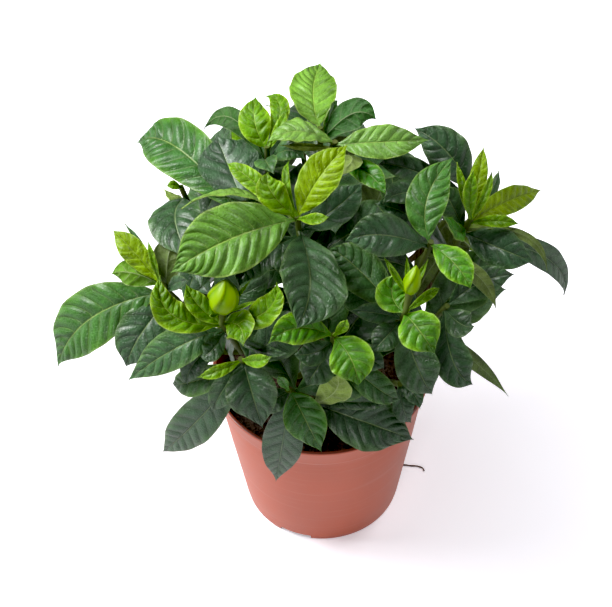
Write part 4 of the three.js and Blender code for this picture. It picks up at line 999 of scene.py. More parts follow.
def new_group(name, sockets):
    """A Geometry Nodes group with the named inputs, what adds nodes to it, and its inputs' sockets."""
    group = bpy.data.node_groups.new(name, "GeometryNodeTree")
    group.interface.new_socket("Geometry", in_out="OUTPUT", socket_type="NodeSocketGeometry")
    for socket, kind in {"Geometry": "Geometry", **sockets, "Skin": "Material"}.items():
        group.interface.new_socket(socket, in_out="INPUT", socket_type="NodeSocket" + kind)
    add = partial(add_node, group)
    return group, add, add("NodeGroupInput").outputs


def close_group(add, geometry, skin):
    """Ends a group: real geometry with its material."""
    real = add("GeometryNodeRealizeInstances", None, geometry)
    covered = add("GeometryNodeSetMaterial", None, Geometry=real, Material=skin)
    add("NodeGroupOutput", None, covered)


def stem_group():
    """Sweeps a round section along each path, as thick as the path's radius."""
    if "stem_sweep" in bpy.data.node_groups:
        return bpy.data.node_groups["stem_sweep"]
    group, add, start = new_group("stem_sweep", {"Sides": "Int"})
    section = add("GeometryNodeCurvePrimitiveCircle", None, Resolution=start["Sides"], Radius=1.0)
    sweep = add(
        "GeometryNodeCurveToMesh", None, Curve=start["Geometry"], Profile_Curve=section,
        Scale=add("GeometryNodeInputRadius"), Fill_Caps=True,
    )
    close_group(add, add("GeometryNodeSetShadeSmooth", None, sweep), start["Skin"])
    return group


CRUMB = {"turn": (6.3, 6.3, 6.3), "least": (0.6, 0.6, 0.4), "most": (1.4, 1.1, 0.9)}


def crumb_group():
    """Strews crumbs over a surface, each turned and sized at random, and keeps the surface."""
    group, add, start = new_group(
        "soil_crumbs", {"Density": "Float", "Smallest": "Float", "Largest": "Float", "Seed": "Int"},
    )
    whole, seed = start["Geometry"], {"Seed": start["Seed"]}
    kind, chance = "GeometryNodeDistributePointsOnFaces", "FunctionNodeRandomValue"
    strewn = add(kind, None, Mesh=whole, Density=start["Density"], **seed)
    turn = add(chance, VECTORS, (0, 0, 0), CRUMB["turn"], **seed)
    size = add(chance, {"data_type": "FLOAT"}, start["Smallest"], start["Largest"], **seed)
    flat = add(chance, VECTORS, CRUMB["least"], CRUMB["most"], **seed)
    crumbs = add(
        "GeometryNodeInstanceOnPoints", None, Points=strewn,
        Instance=add("GeometryNodeMeshIcoSphere", None, Radius=1.0, Subdivisions=1),
        Rotation=turn, Scale=add("VectorMath", SCALE, flat, size),
    )
    both = add("GeometryNodeJoinGeometry", None, crumbs)
    group.links.new(whole, both.inputs[0])
    close_group(add, both, start["Skin"])
    return group


def grown(name, source, group, **inputs):
    """The plain mesh that a Geometry Nodes group makes of an object, which is then removed."""
    modifier = source.modifiers.new("nodes", "NODES")
    modifier.node_group = group
    for item in group.interface.items_tree:
        if item.in_out == "INPUT" and item.name in inputs:
            modifier[item.identifier] = inputs[item.name]
    bpy.context.view_layer.update()
    evaluated = source.evaluated_get(bpy.context.evaluated_depsgraph_get())
    mesh = bpy.data.meshes.new_from_object(evaluated)
    mesh.name = name
    bpy.data.objects.remove(source)
    return mesh


def stems_mesh(name, paths, sides, skin):
    """Round stems along paths of points and radii in millimetres."""
    curve = bpy.data.curves.new(name + "_paths", "CURVE")
    curve.dimensions = "3D"
    for points, radii in paths:
        spline = curve.splines.new("POLY")
        spline.points.add(len(points) - 1)
        for node, point, radius in zip(spline.points, in_metres(points), radii):
            node.co = (*point, 1)
            node.radius = radius * MM
    return grown(name, linked(name + "_paths", curve), stem_group(), Sides=sides, Skin=skin)


def joined(name, pieces):
    """One object from several, which keep their materials."""
    with bpy.context.temp_override(active_object=pieces[0], selected_editable_objects=pieces):
        bpy.ops.object.join()
    pieces[0].name = name
    return pieces[0]


def sheet_mesh(name, parts, materials):
    """One mesh from thin closed sheets, with their pattern places, colours and ages."""
    points, quads, under, places, colours, ages = (list(column) for column in zip(*parts))
    starts = np.cumsum([0] + [len(part) for part in points[:-1]])
    quads = np.concatenate([part + start for part, start in zip(quads, starts)])
    mesh = bpy.data.meshes.new(name)
    mesh.from_pydata(in_metres(np.concatenate(points)).tolist(), [], quads.tolist())
    for material in materials:
        mesh.materials.append(material)
    mesh.polygons.foreach_set("material_index", np.concatenate(under).astype(np.int32))
    mesh.shade_smooth()
    corner = np.zeros(len(mesh.loops), np.int32)
    mesh.loops.foreach_get("vertex_index", corner)
    layer = mesh.uv_layers.new(name="blade")
    layer.data.foreach_set("uv", np.concatenate(places)[corner].ravel())
    paint = mesh.color_attributes.new("leaf_colour", "FLOAT_COLOR", "POINT")
    paint.data.foreach_set("color", np.concatenate(colours).ravel())
    mesh.attributes.new("leaf_age", "FLOAT", "POINT").data.foreach_set("value", np.concatenate(ages))
    mesh.set_sharp_from_angle(angle=SHARP_LEAF)
    mesh.update()
    return mesh


VARIED = {"light": (0.88, 1.12), "warm": (0.94, 1.06)}


def tones_of(colours):
    """Top, edge and underside colours of each kind of leaf, and its age from 0 to 1."""
    names = ("dark", "mid", "green", "fresh", "lime", "golden", "underside")
    dark, mid, green, fresh, lime, golden, olive = (np.array(getattr(colours, name)) for name in names)
    codes = ("#4f6a52", "#8fa650", "#8fc41c", "#93bd16")
    greyed, pale, bright_rim, lime_rim = (np.array(linear(code)) for code in codes)
    return {
        "dark": (dark, mixed(dark, fresh, 0.25), olive, 0.8),
        "grey": (mixed(dark, greyed, 0.15), dark, olive, 0.95),
        "mid": (mid, mixed(mid, fresh, 0.6), olive, 0.65),
        "shaded": (mid, mid, mixed(mid, green, 0.35) * 0.8, 0.6),
        "grown": (mixed(mid, green, 0.4), mixed(green, lime, 0.5), olive, 0.5),
        "green": (green, mixed(green, lime, 0.8), mixed(olive, pale, 0.4), 0.4),
        "rimmed": (mixed(green, lime, 0.3), bright_rim, mixed(lime, olive, 0.3), 0.3),
        "broad": (mixed(green, fresh, 0.55) * 0.88, mixed(fresh, lime, 0.6), olive, 0.32),
        "fresh": (fresh, mixed(fresh, lime, 0.5), mixed(olive, pale, 0.8), 0.3),
        "bright": (mixed(fresh, lime, 0.35) * 1.12, lime, pale, 0.2),
        "lime": (lime, lime_rim, pale, 0.1),
        "golden": (golden, mixed(golden, lime, 0.5), pale, 0.0),
    }


def varied(colour, draw):
    """A colour made up to an eighth lighter or darker, and a little yellower or bluer."""
    light = mixed(*VARIED["light"], draw())
    warm = mixed(*VARIED["warm"], draw())
    return np.array([colour[0] * light * warm, colour[1] * light, colour[2] * light / warm, 1.0])


def painted(blade, sizes, tones, kind, draw):
    top, edge, under, age = tones[kind]
    return blade_mesh(blade, sizes, varied(top, draw), varied(under, draw), varied(edge, draw), age)


def ruled_shoots():
    for prefix, rows, rule in (("back_", BACK_SHOOTS, BACK), ("under_", UNDER_SHOOTS, UNDER)):
        for i, (turn, rise, young, cutting) in enumerate(rows):
            yield {
                "name": prefix + str(i + 1), "rule": rule, "cutting": cutting, "has_young": young,
                "line": round_line(turn, rise, cutting, rule),
            }


def all_shoots():
    """Every shoot with its line, those that show first."""
    seen = [{**row, "line": seen_line(row), "has_young": bool(row["young"])} for row in SHOOTS]
    return seen, list(ruled_shoots())


def foliage_of(sizes, tones):
    """The painted blades of each leafy node."""
    seen, ruled = all_shoots()
    blades = {}
    for row in seen:
        for kind, leaves in (("_young", row["young"]), ("_leaves", row["dark"])):
            node = row["name"] + kind
            for i, entry in enumerate(leaves):
                draw = random_from(1000 + len(blades) * 31 + i)
                blade = fitted(node, lambda bend: seen_leaf(entry, row["line"], bend))
                if blade is None:
                    raise RuntimeError(f"leaf {i} of {node} isn't in its solid")
                blades.setdefault(node, []).append(painted(blade, sizes, tones, entry["tone"], draw))
    grown_by_rule = [(INNER, row, i, False) for i, row in enumerate(seen)]
    grown_by_rule += [(row["rule"], row, i, row["has_young"]) for i, row in enumerate(ruled)]
    for rule, row, i, young in grown_by_rule:
        for j, entry in enumerate(rule_leaves(rule, row["line"], i, young)):
            node = row["name"] + ("_young" if entry["young"] else "_leaves")
            if not keeps_inside(rule_leaf(entry, row["line"], BENDS[0]), rule["margin"]):
                continue
            blade = fitted(node, lambda bend: rule_leaf(entry, row["line"], bend))
            if blade is not None:
                draw = random_from(rule["seed"] * 977 + i * 61 + j)
                kind = "lime" if entry["young"] else ("dark", "dark", "mid")[int(3 * draw())]
                blades.setdefault(node, []).append(painted(blade, sizes, tones, kind, draw))
    return seen + ruled, blades


def evenly(values, count):
    """So many values, spread evenly along the given ones."""
    return np.interp(np.linspace(0, len(values) - 1, count), range(len(values)), values)


def stem_path(line, low, high, radii):
    """A straight green stem between two places below the crown, a little thicker at its leaf joints."""
    steps = np.linspace(0, 1, max(int(abs(low - high) / STEM["step"]), 2) + 1)
    below = [mixed(low, high, t) for t in steps]
    points = [line["crown"] - line["along"] * depth for depth in below]
    from_joint = [(depth - JOINT["first"]) % JOINT["apart"] - JOINT["apart"] / 2 for depth in below]
    joints = [1 + JOINT["thicker"] * math.exp(-(away / JOINT["reach"]) ** 2) for away in from_joint]
    return points, [mixed(*radii, t) * joint for t, joint in zip(steps, joints)]


def branch_path(line):
    """A woody branch from the fork to the foot of its green stem."""
    end = line["foot"] + line["along"] * STEM["into_green"]
    pull = end - line["along"] * (0.5 * np.linalg.norm(end - line["fork"]))
    steps = np.linspace(0, 1, STEM["branch_steps"])
    points = [line["fork"] * (1 - t) ** 2 + pull * 2 * t * (1 - t) + end * t * t for t in steps]
    knots = [1 + KNOT["branch"] * math.sin(KNOT["branch_waves"] * t + line["length"]) for t in steps]
    return points, [mixed(STEM["wood"], STEM["green"], t) * knot for t, knot in zip(steps, knots)]


def smooth_curve(points, count):
    """Points on a smooth curve through the given ones."""
    points = np.array(points, float)
    padded = np.vstack([2 * points[0] - points[1], points, 2 * points[-1] - points[-2]])
    made = []
    for t in np.linspace(0, len(points) - 1, count):
        i = min(int(t), len(points) - 2)
        f = t - i
        a, b, c, d = padded[i:i + 4]
        made.append(0.5 * (2 * b + (c - a) * f + (2 * a - 5 * b + 4 * c - d) * f ** 2
                           + (3 * b - a - 3 * c + d) * f ** 3))
    return made


def trunk_path(cutting):
    x, y = cutting["foot"]
    top = np.array(cutting["fork"], float)
    root = np.array([x, y, SOIL["top"] - STEM["root_depth"]], float)
    collar = np.array([x, y, SOIL["top"] + STEM["clear_of_soil"]], float)
    middle = mixed(collar, top, 0.5) + np.array([0, 0, 2])
    end = top + np.array([0, 0, STEM["into_fork"]])
    points = smooth_curve([root, collar, middle, end], STEM["trunk_steps"])
    knots = [1 + KNOT["trunk"] * math.sin(KNOT["trunk_waves"] * i + x) for i in range(len(points))]
    return points, [radius * knot for radius, knot in zip(evenly(STEM["trunk"], len(points)), knots)]


def lathe(profile, count):
    """A closed turned mesh of so many sides: profile points of radius and height, from axis to axis."""
    turns = [2 * math.pi * k / count for k in range(count)]
    points = [(0, 0, profile[0][1])]
    faces = []
    for radius, height in profile[1:-1]:
        points += [(radius * math.cos(t), radius * math.sin(t), height) for t in turns]
    points.append((0, 0, profile[-1][1]))
    rings, last = len(profile) - 2, len(points) - 1
    for k in range(count):
        after = (k + 1) % count
        faces.append((0, 1 + after, 1 + k))
        faces.append((last, last - count + k, last - count + after))
        for i in range(rings - 1):
            a, b = 1 + i * count, 1 + (i + 1) * count
            faces.append((a + k, a + after, b + after, b + k))
    return points, faces


def pot_wall(z):
    rim = POT["rim_radius"] - POT["lip_width"] / 2
    return POT["foot_radius"] + (rim - POT["foot_radius"]) * z / POT["height"]


def pot_profile():
    """The moulding's section, with its corners rounded."""
    top, band = POT["height"], POT["height"] - POT["band_height"]
    low, floor = POT["floor_rise"], POT["floor_rise"] + POT["floor_thick"]
    outer, inner, under_lip = POT["rim_radius"], POT["rim_radius"] - POT["lip_width"], top - POT["lip_height"]
    foot, vein_tone_and_groove_shade = POT["foot_radius"], POT["foot_radius"] - POT["foot_wall"]
    below_band = pot_wall(band) - POT["band_step"]
    outside = [
        (0, low), (vein_tone_and_groove_shade - 1.2, low), (vein_tone_and_groove_shade - 0.2, low - 0.6), (vein_tone_and_groove_shade, 0.3), (vein_tone_and_groove_shade + 0.3, 0),
        (foot - 0.5, 0), (foot - 0.1, 0.4), (pot_wall(4), 4), (pot_wall(30), 30), (pot_wall(60), 60),
        (pot_wall(band - 4) - 0.2, band - 4), (below_band, band - 0.4), (below_band + 0.1, band),
        (pot_wall(band + 0.8), band + 0.9), (pot_wall(band + 2) + 0.1, band + 2),
        (pot_wall(top - 4), top - 4),
    ]
    lip = [
        (outer - 0.9, under_lip - 0.3), (outer - 0.25, under_lip + 0.05), (outer, under_lip + 0.5),
        (outer, top - 0.7), (outer - 0.2, top - 0.25), (outer - 0.7, top), (inner + 0.7, top),
        (inner + 0.2, top - 0.2), (inner, top - 0.7),
    ]
    inside = [(top - 4, 0, 0), (50, 0, 0), (floor + 3, 0, 0), (floor, 1.8, 0.4), (floor, 3.2, 0)]
    wall = [(pot_wall(z) - POT["wall"] - inwards, z + up) for z, inwards, up in inside]
    return outside + lip + wall + [(0, floor)]


def cut_from(piece, cutter):
    """Takes a closed mesh away from a piece, and removes it."""
    modifier = piece.modifiers.new("cut", "BOOLEAN")
    modifier.operation = "DIFFERENCE"
    modifier.solver = "EXACT"
    modifier.object = cutter
    bpy.context.view_layer.update()
    evaluated = piece.evaluated_get(bpy.context.evaluated_depsgraph_get())
    piece.modifiers.clear()
    piece.data = bpy.data.meshes.new_from_object(evaluated)
    bpy.data.objects.remove(cutter)


def pot_cutters():
    """One mesh of the foot's notches and the floor's drain holes."""
    cutters = bmesh.new()
    for degrees in POT["notch_turns"]:
        turn = math.radians(degrees)
        out = Vector((math.sin(turn), -math.cos(turn), 0))
        box = Matrix.Diagonal((POT["notch_width"], POT["notch_deep"], 2 * POT["notch_height"], 1))
        place = Matrix.Translation(out * POT["foot_radius"]) @ Matrix.Rotation(turn, 4, "Z")
        bmesh.ops.create_cube(cutters, size=1, matrix=place @ box)
        middle = POT["foot_radius"] - POT["foot_wall"] - POT["drain_inset"]
        hole = Matrix.Translation(out * middle + Vector((0, 0, POT["floor_rise"])))
        bmesh.ops.create_cone(
            cutters, cap_ends=True, segments=SIDES["drain"], radius1=POT["drain_radius"],
            radius2=POT["drain_radius"], depth=POT["drain_cut"], matrix=hole,
        )
    cutters.transform(Matrix.Scale(MM, 4) @ Matrix.Translation(Vector(SHIFT)))
    mesh = bpy.data.meshes.new("pot_cutters")
    cutters.to_mesh(mesh)
    cutters.free()
    return linked("pot_cutters", mesh)


def soil_surface():
    """The mounded top of the soil as a closed disc with a rough face."""
    top, rings, chamfer = SOIL["top"], SOIL["rings"], SOIL["chamfer"]
    wall = pot_wall(top) - POT["wall"] - GAP - SOIL["inset"]
    bottom = POT["floor_rise"] + POT["floor_thick"] + GAP
    low = pot_wall(bottom) - POT["wall"] - GAP - SOIL["inset"] - chamfer
    profile = [(0, bottom), (low, bottom), (low + chamfer, bottom + 2 * chamfer)]
    profile.append((wall - 0.1, top - SOIL["shoulder"]))
    for i in range(1, rings + 1):
        radius = wall * (1 - i / rings)
        profile.append((radius, top + SOIL["mound"] * (1 - (radius / wall) ** 2)))
    points, faces = lathe(profile, SOIL["spokes"])
    (coarse, lump_height), (fine, grit_height) = SOIL["lumps"], SOIL["grit"]
    for i, (x, y, z) in enumerate(points):
        if z > top - SOIL["rough_above"]:
            place = Vector((x, y, 0))
            lumps = noise.fractal(place * coarse, *SOIL["lumpy"]) * lump_height
            grit = noise.noise(place * fine) * grit_height
            points[i] = (x, y, z + (lumps + grit))
    return points, faces


def bud_oval(bud, foot, along, height, tones):
    """A closed bud of petals rolled in a spiral, each petal's edge standing over the next."""
    up = Vector((0, 0, 1)).rotation_difference(Vector(along)).to_matrix()
    rings, around = BUD["rings"], BUD["around"]
    points, colours = [], []
    light, furrow_shade_colour = tones
    for i in range(rings + 1):
        t = mixed(*BUD["ends"], i / rings)
        radius = bud["radius"] * math.sin(math.pi * t ** BUD["widest"]) ** BUD["roundness"]
        for k in range(around):
            turn = 2 * math.pi * k / around
            lap = (BUD["ridges"] * (turn - BUD["twist"] * t) / (2 * math.pi)) % 1
            edge = 1 - smooth_step(*BUD["lap_edge"], lap) * BUD["lap_fall"]
            r = radius * (1 + BUD["ridge"] * (2 * lap ** BUD["lap_rise"] - 1) * edge)
            place = up @ Vector((r * math.cos(turn), r * math.sin(turn), t * height))
            points.append(np.array(foot) + np.array(place))
            # Painted shade, darker and greener, in the furrow beside the overlapping edge of the next petal.
            shade = mixed(BUD["furrow_shade_level"], 1, smooth_step(*BUD["furrow"], lap))
            colours.append(mixed(furrow_shade_colour, light, shade))
    at = np.arange((rings + 1) * around).reshape(rings + 1, around)
    after = np.roll(at, -1, axis=1)
    quads = np.stack([at[:-1], after[:-1], after[1:], at[1:]], axis=-1).reshape(-1, 4).tolist()
    return points, quads + [at[0, ::-1].tolist(), at[-1].tolist()], colours


def bud_petals(bud, neck, along, height, colours):
    """The bud's rolled petals as a painted piece."""
    light = np.array(colours.bud)
    # The darker green of the painted shade in the furrows.
    furrow_shade_colour = mixed(light, np.array(colours.green), BUD["furrow_shade_green"])
    points, faces, paint = bud_oval(bud, neck, along, height, (light, furrow_shade_colour))
    piece = solid(bud["node"] + "_petals", points, faces, "bud")
    layer = piece.data.color_attributes.new("leaf_colour", "FLOAT_COLOR", "POINT")
    layer.data.foreach_set("color", np.array(paint).ravel())
    piece.data.shade_smooth()
    return piece


def bud_stalk(name, line, foot, neck, along):
    """A short stalk that widens into the bud."""
    steps = BUD["stalk_steps"]
    route = [foot, foot + line["along"] * 1.5, mixed(foot, neck, 0.6), neck + along * 2]
    path = (smooth_curve(route, steps), evenly(BUD["stalk"], steps))
    return linked(name, stems_mesh(name, [path], SIDES["stalk"], material_of("stem")))


def sepal_blade(sepal, base):
    tip_pixel, wide, lift = sepal
    tip = point_at(tip_pixel, crown_depth(tip_pixel) + lift)
    chord = unit(tip - base)
    face = unit(BACKWARDS - chord * dot(BACKWARDS, chord))
    return {
        "base": base, "mid": mixed(base, tip, 0.5) - face * BUD["sepal_bow"], "tip": tip, "face": face,
        "half": wide / 2 * VIEW["distance"] / VIEW["focal"], "fold": BUD["sepal_fold"],
        "wave": BUD["sepal_wave"], "phase": 0, "plain": True,
    }


class GardeniaSizes(bpy.types.PropertyGroup):
    """Sizes of the plant's fine detail."""

    leaf_thickness: FloatProperty(
        name="Leaf thickness", description="Thickness of a blade between its veins",
        default=0.00045, min=0.0001, unit="LENGTH",
    )
    vein_spacing: FloatProperty(
        name="Vein spacing", description="Distance between lateral veins along the midrib",
        default=0.0082, min=0.002, unit="LENGTH",
    )
    quilt_depth: FloatProperty(
        name="Quilting", description="How far the blade swells between veins, as a share of half its width",
        default=0.095, min=0, max=0.3, subtype="FACTOR",
    )
    crumb: FloatProperty(
        name="Soil crumb", description="Radius of the largest crumbs on the soil",
        default=0.0017, min=0.0002, unit="LENGTH",
    )
    pot_turns: IntProperty(
        name="Pot segments", description="Number of sides of the turned pot", default=144, min=24,
    )


def leaf_colour(label, description, code):
    return FloatVectorProperty(
        name=label, description=description, subtype="COLOR", size=4, min=0, max=1, default=linear(code),
    )


class GardeniaColours(bpy.types.PropertyGroup):
    """Colours of the plant and its pot."""

    dark: leaf_colour("Oldest leaves", "Colour of the oldest leaves", "#31512e")
    mid: leaf_colour("Mature leaves", "Colour of mature leaves", "#3a6030")
    green: leaf_colour("Grown leaves", "Colour of leaves that have just grown up", "#3d7c17")
    fresh: leaf_colour("Fresh leaves", "Colour of full-sized fresh leaves", "#719c42")
    lime: leaf_colour("Young leaves", "Colour of the newest leaves", "#5c8a08")
    golden: leaf_colour("Sunlit young leaves", "Colour of the yellowest new leaves", "#7a9a08")
    underside: leaf_colour("Undersides", "Colour of the leaves' undersides", "#5f7238")
    stem: leaf_colour("Green stems", "Colour of green stems", "#4f6a2a")
    bark: leaf_colour("Bark", "Colour of the woody stems", "#77644c")
    soil: leaf_colour("Soil", "Colour of the potting mix", "#2a1f17")
    pot: leaf_colour("Pot", "Colour of the plastic pot", "#d06344")
    bud: leaf_colour("Buds", "Colour of the flower buds", "#8aae09")


class GARDENIA_OT_pot(bpy.types.Operator):
    """Moulds the nursery pot with its lip, rim band, foot notches and drain holes"""

    bl_idname = "gardenia.pot"
    bl_label = "Pot"

    def execute(self, context):
        points, faces = lathe(pot_profile(), context.scene.gardenia_sizes.pot_turns)
        piece = solid("pot_moulding", points, faces)
        cut_from(piece, pot_cutters())
        mesh = piece.data
        mesh.name = "pot_moulding"
        mesh.materials.clear()
        mesh.materials.append(material_of("pot"))
        mesh.shade_smooth()
        mesh.set_sharp_from_angle(angle=SHARP_POT)
        finish_piece(piece, "pot_plastic", "pot")
        return {"FINISHED"}


class GARDENIA_OT_soil(bpy.types.Operator):
    """Fills the pot with crumbly potting mix"""

    bl_idname = "gardenia.soil"
    bl_label = "Potting mix"

    def execute(self, context):
        largest = context.scene.gardenia_sizes.crumb
        points, faces = soil_surface()
        whole = solid("soil_body", points, faces, "soil")
        top = bmesh.new()
        top.from_mesh(whole.data)
        level = (SOIL["top"] - SOIL["crumbs_above"]) * MM
        low = [face for face in top.faces if face.calc_center_median().z < level]
        bmesh.ops.delete(top, geom=low, context="FACES")
        strip = bpy.data.meshes.new("soil_top")
        top.to_mesh(strip)
        top.free()
        crumbs = grown(
            "soil_crumbs", linked("soil_top", strip), crumb_group(), Density=SOIL["crumbs"],
            Smallest=largest * SOIL["smallest_crumb"], Largest=largest, Seed=SOIL["seed"],
            Skin=material_of("soil"),
        )
        piece = joined("potting_mix", [whole, linked("soil_crumbs", crumbs)])
        finish_piece(piece, "potting_soil", "soil")
        return {"FINISHED"}


class GARDENIA_OT_rootlet(bpy.types.Operator):
    """Lays the thin root that has come out of a drain hole"""

    bl_idname = "gardenia.rootlet"
    bl_label = "Rootlet"

    def execute(self, context):
        points = smooth_curve(ROOTLET["route"], ROOTLET["steps"])
        for point in points:
            point[2] = max(point[2], ROOTLET["radius"])
        shares = np.linspace(0, 1, len(points))
        knots = [1 + ROOTLET["knots"] * math.sin(ROOTLET["knot_waves"] * t) for t in shares]
        radii = [ROOTLET["radius"] * (1 - ROOTLET["thins"] * t) * knot for t, knot in zip(shares, knots)]
        mesh = stems_mesh("thin_root", [(points, radii)], SIDES["root"], material_of("root"))
        finish_piece(linked("thin_root", mesh), "root", "rootlet")
        return {"FINISHED"}


class GARDENIA_OT_cuttings(bpy.types.Operator):
    """Grows the four rooted cuttings and their woody branches"""

    bl_idname = "gardenia.cuttings"
    bl_label = "Woody cuttings"

    def execute(self, context):
        seen, ruled = all_shoots()
        for name, cutting in CUTTINGS.items():
            paths = [trunk_path(cutting)]
            paths += [branch_path(row["line"]) for row in seen + ruled if row["cutting"] == name]
            mesh = stems_mesh("woody_stem_" + name, paths, SIDES["wood"], material_of("bark"))
            finish_piece(linked("woody_stem_" + name, mesh), "bark", "cutting_" + name)
        return {"FINISHED"}


class GARDENIA_OT_foliage(bpy.types.Operator):
    """Grows every leafy shoot, with its green stem"""

    bl_idname = "gardenia.foliage"
    bl_label = "Leafy shoots"

    def execute(self, context):
        tones = tones_of(context.scene.gardenia_colours)
        shoots, blades = foliage_of(context.scene.gardenia_sizes, tones)
        skins = [material_of("leaf_top"), material_of("leaf_under")]
        for row in shoots:
            line, end = row["line"], STEM["past_crown"]
            stems = {"_leaves": (line["length"], end, STEM["green"])}
            if row["has_young"]:
                stems["_leaves"] = (line["length"], STEM["young_length"], STEM["green"])
                stems["_young"] = (STEM["young_length"], end, STEM["young"])
            for kind, (low, high, radius) in stems.items():
                node = row["name"] + kind
                path = stem_path(line, low, high, (radius, STEM["young"]))
                stem = stems_mesh(node + "_stem", [path], SIDES["green_stem"], material_of("stem"))
                parts = [linked(node + "_stem", stem)]
                if node in blades:
                    mesh = sheet_mesh("foliage_" + node, blades[node], skins)
                    parts.insert(0, linked("foliage_" + node, mesh))
                piece = joined("foliage_" + node, parts)
                finish_piece(piece, "young_leaf" if kind == "_young" else "mature_leaf", node)
        return {"FINISHED"}


class GARDENIA_OT_flower_buds(bpy.types.Operator):
    """Makes the two closed flower buds with their sepals and stalks"""

    bl_idname = "gardenia.flower_buds"
    bl_label = "Flower buds"

    def execute(self, context):
        sizes, colours = context.scene.gardenia_sizes, context.scene.gardenia_colours
        tones = tones_of(colours)
        skins = [material_of("leaf_top"), material_of("leaf_under")]
        lines = {row["name"]: seen_line(row) for row in SHOOTS}
        for name, bud in BUDS.items():
            line, node = lines[name], bud["node"]
            top = point_at(bud["top"], crown_depth(bud["top"]) + bud["lift"])
            foot = line["crown"] + line["along"] * GAP
            along = unit(top - foot)
            neck = foot + along * bud["stalk"]
            petals = bud_petals(bud, neck, along, np.linalg.norm(top - neck), colours)
            draw = random_from(BUD["seed"])
            blades = [painted(sepal_blade(row, neck), sizes, tones, "lime", draw) for row in bud["sepals"]]
            sepals = linked(node + "_sepals", sheet_mesh(node + "_sepals", blades, skins))
            stalk = bud_stalk(node + "_stalk", line, foot, neck, along)
            finish_piece(joined("closed_" + node, [petals, sepals, stalk]), "bud", node)
        return {"FINISHED"}


# The studio in metres and watts: where each light stands from the plant's middle, its width and power.
LIGHTS = {
    "key_light": ((-0.85, 0.1, 0.95), 0.7, 24),
    "top_light": ((0.6, 0.35, 1.1), 0.4, 7),
    "side_light": ((-1.25, 0.3, -0.08), 0.5, 1.6),
    "fill_light": ((1.2, -0.4, 0.0), 0.9, 2.2),
    "front_light": ((-0.4, -1.25, 0.4), 0.3, 3),
}

FLOOR_SIDE = 6.0
PAPER = {"clouds": 2.5, "glow": (0.08, 0.4, 0.39, 1.0), "glow_on_plant": 0.2}
AIR_ON_PLANT = 0.08
BLACK_LEVEL = 0.008


def paper_material():
    """Matt translucent paper, lit from below and more so away from the plant, with the faintest
    cloudiness some 40 cm across. It hardly shows in the glossy leaves and pot."""
    material, add, where = new_material("white_studio_paper")
    cloud = add("TexNoise", None, Vector=where, Scale=PAPER["clouds"])
    paper = add("Mix", COLOURS, cloud, linear("#faf9fe"), linear("#f6f5fc"))
    seen = add("LightPath").outputs["Is Camera Ray"]
    away = add("VectorMath", LENGTH, where)
    far = add("MapRange", None, away, *PAPER["glow"])
    close_tree(
        add, Base_Color=add("Mix", COLOURS, seen, linear("#c8c8ca"), paper), Roughness=0.9,
        Emission_Color=paper,
        Emission_Strength=add("MapRange", None, seen, 0.0, 1.0, PAPER["glow_on_plant"], far),
    )
    return material


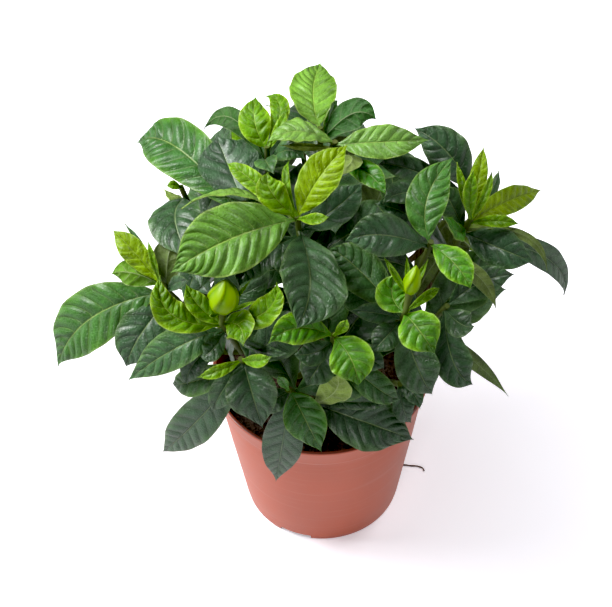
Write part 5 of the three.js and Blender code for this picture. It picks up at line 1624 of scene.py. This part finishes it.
class GARDENIA_OT_stage(bpy.types.Operator):
    """Lays the pale floor, hangs the soft lights and sets up the photograph's camera"""

    bl_idname = "gardenia.stage"
    bl_label = "Studio"

    def execute(self, context):
        scene = context.scene
        self.floor()
        for name, (way, size, power) in LIGHTS.items():
            self.light(name, Vector(way), size, power)
        self.air(scene)
        self.camera(scene)
        scene.view_settings.view_transform = "Standard"
        # The photograph's blacks are deep.
        scene.view_settings.use_curve_mapping = True
        scene.view_settings.curve_mapping.black_level = (BLACK_LEVEL,) * 3
        return {"FINISHED"}

    def camera(self, scene):
        lens = bpy.data.cameras.new("photo_camera")
        lens.sensor_fit = "HORIZONTAL"
        lens.sensor_width = 36
        lens.lens = VIEW["focal"] * lens.sensor_width / VIEW["width"]
        lens.clip_start, lens.clip_end = 0.05, 20
        camera = linked("photo_camera", lens)
        turn = Matrix([list(RIGHT), list(UP), list(BACKWARDS)]).transposed().to_4x4()
        camera.matrix_world = Matrix.Translation(Vector(tuple(in_metres(EYE)))) @ turn
        scene.camera = camera

    def air(self, scene):
        """A dim room that looks pale behind the floor but hardly shows in the glossy leaves."""
        world = bpy.data.worlds.new("studio_air")
        world.use_nodes = True
        tree = world.node_tree
        seen = add_node(tree, "LightPath").outputs["Is Camera Ray"]
        strength = add_node(tree, "MapRange", None, seen, 0.0, 1.0, AIR_ON_PLANT, 1.0)
        background = tree.nodes["Background"]
        background.inputs["Color"].default_value = linear("#ffffff")
        tree.links.new(strength.outputs[0], background.inputs["Strength"])
        scene.world = world

    def floor(self):
        mesh = bpy.data.meshes.new("studio_floor")
        corners = [(x * FLOOR_SIDE, y * FLOOR_SIDE, 0) for x, y in ((-1, -1), (1, -1), (1, 1), (-1, 1))]
        mesh.from_pydata(corners, [], [(0, 1, 2, 3)])
        mesh.materials.append(paper_material())
        linked("studio_floor", mesh)

    def light(self, name, way, size, power):
        lamp = bpy.data.lights.new(name, "AREA")
        lamp.shape = "DISK"
        lamp.size = size
        lamp.energy = power
        item = linked(name, lamp)
        place = Matrix.Translation(Vector(tuple(in_metres(VIEW["aim"]))) + way)
        item.matrix_world = place @ way.to_track_quat("Z", "Y").to_matrix().to_4x4()


class GARDENIA_PT_panel(bpy.types.Panel):
    """Lists the plant's sizes, colours and pieces"""

    bl_label = "Potted gardenia"
    bl_idname = "GARDENIA_PT_panel"
    bl_space_type = "VIEW_3D"
    bl_region_type = "UI"
    bl_category = "Gardenia"

    def draw(self, context):
        for group in (context.scene.gardenia_sizes, context.scene.gardenia_colours):
            box = self.layout.box()
            for name in group.bl_rna.properties.keys():
                if name not in {"rna_type", "name"}:
                    box.prop(group, name)
        for operator in PIECES:
            self.layout.operator(operator.bl_idname)


PIECES = (
    GARDENIA_OT_stage, GARDENIA_OT_pot, GARDENIA_OT_soil, GARDENIA_OT_rootlet, GARDENIA_OT_cuttings,
    GARDENIA_OT_foliage, GARDENIA_OT_flower_buds,
)
CLASSES = (GardeniaSizes, GardeniaColours, *PIECES, GARDENIA_PT_panel)


def register():
    for cls in CLASSES:
        bpy.utils.register_class(cls)
    bpy.types.Scene.gardenia_sizes = PointerProperty(type=GardeniaSizes)
    bpy.types.Scene.gardenia_colours = PointerProperty(type=GardeniaColours)


def unregister():
    del bpy.types.Scene.gardenia_colours
    del bpy.types.Scene.gardenia_sizes
    for cls in reversed(CLASSES):
        bpy.utils.unregister_class(cls)


def main():
    register()
    bpy.ops.gardenia.stage()
    bpy.ops.gardenia.pot()
    bpy.ops.gardenia.soil()
    bpy.ops.gardenia.rootlet()
    bpy.ops.gardenia.cuttings()
    bpy.ops.gardenia.foliage()
    bpy.ops.gardenia.flower_buds()


if __name__ == "__main__":
    main()
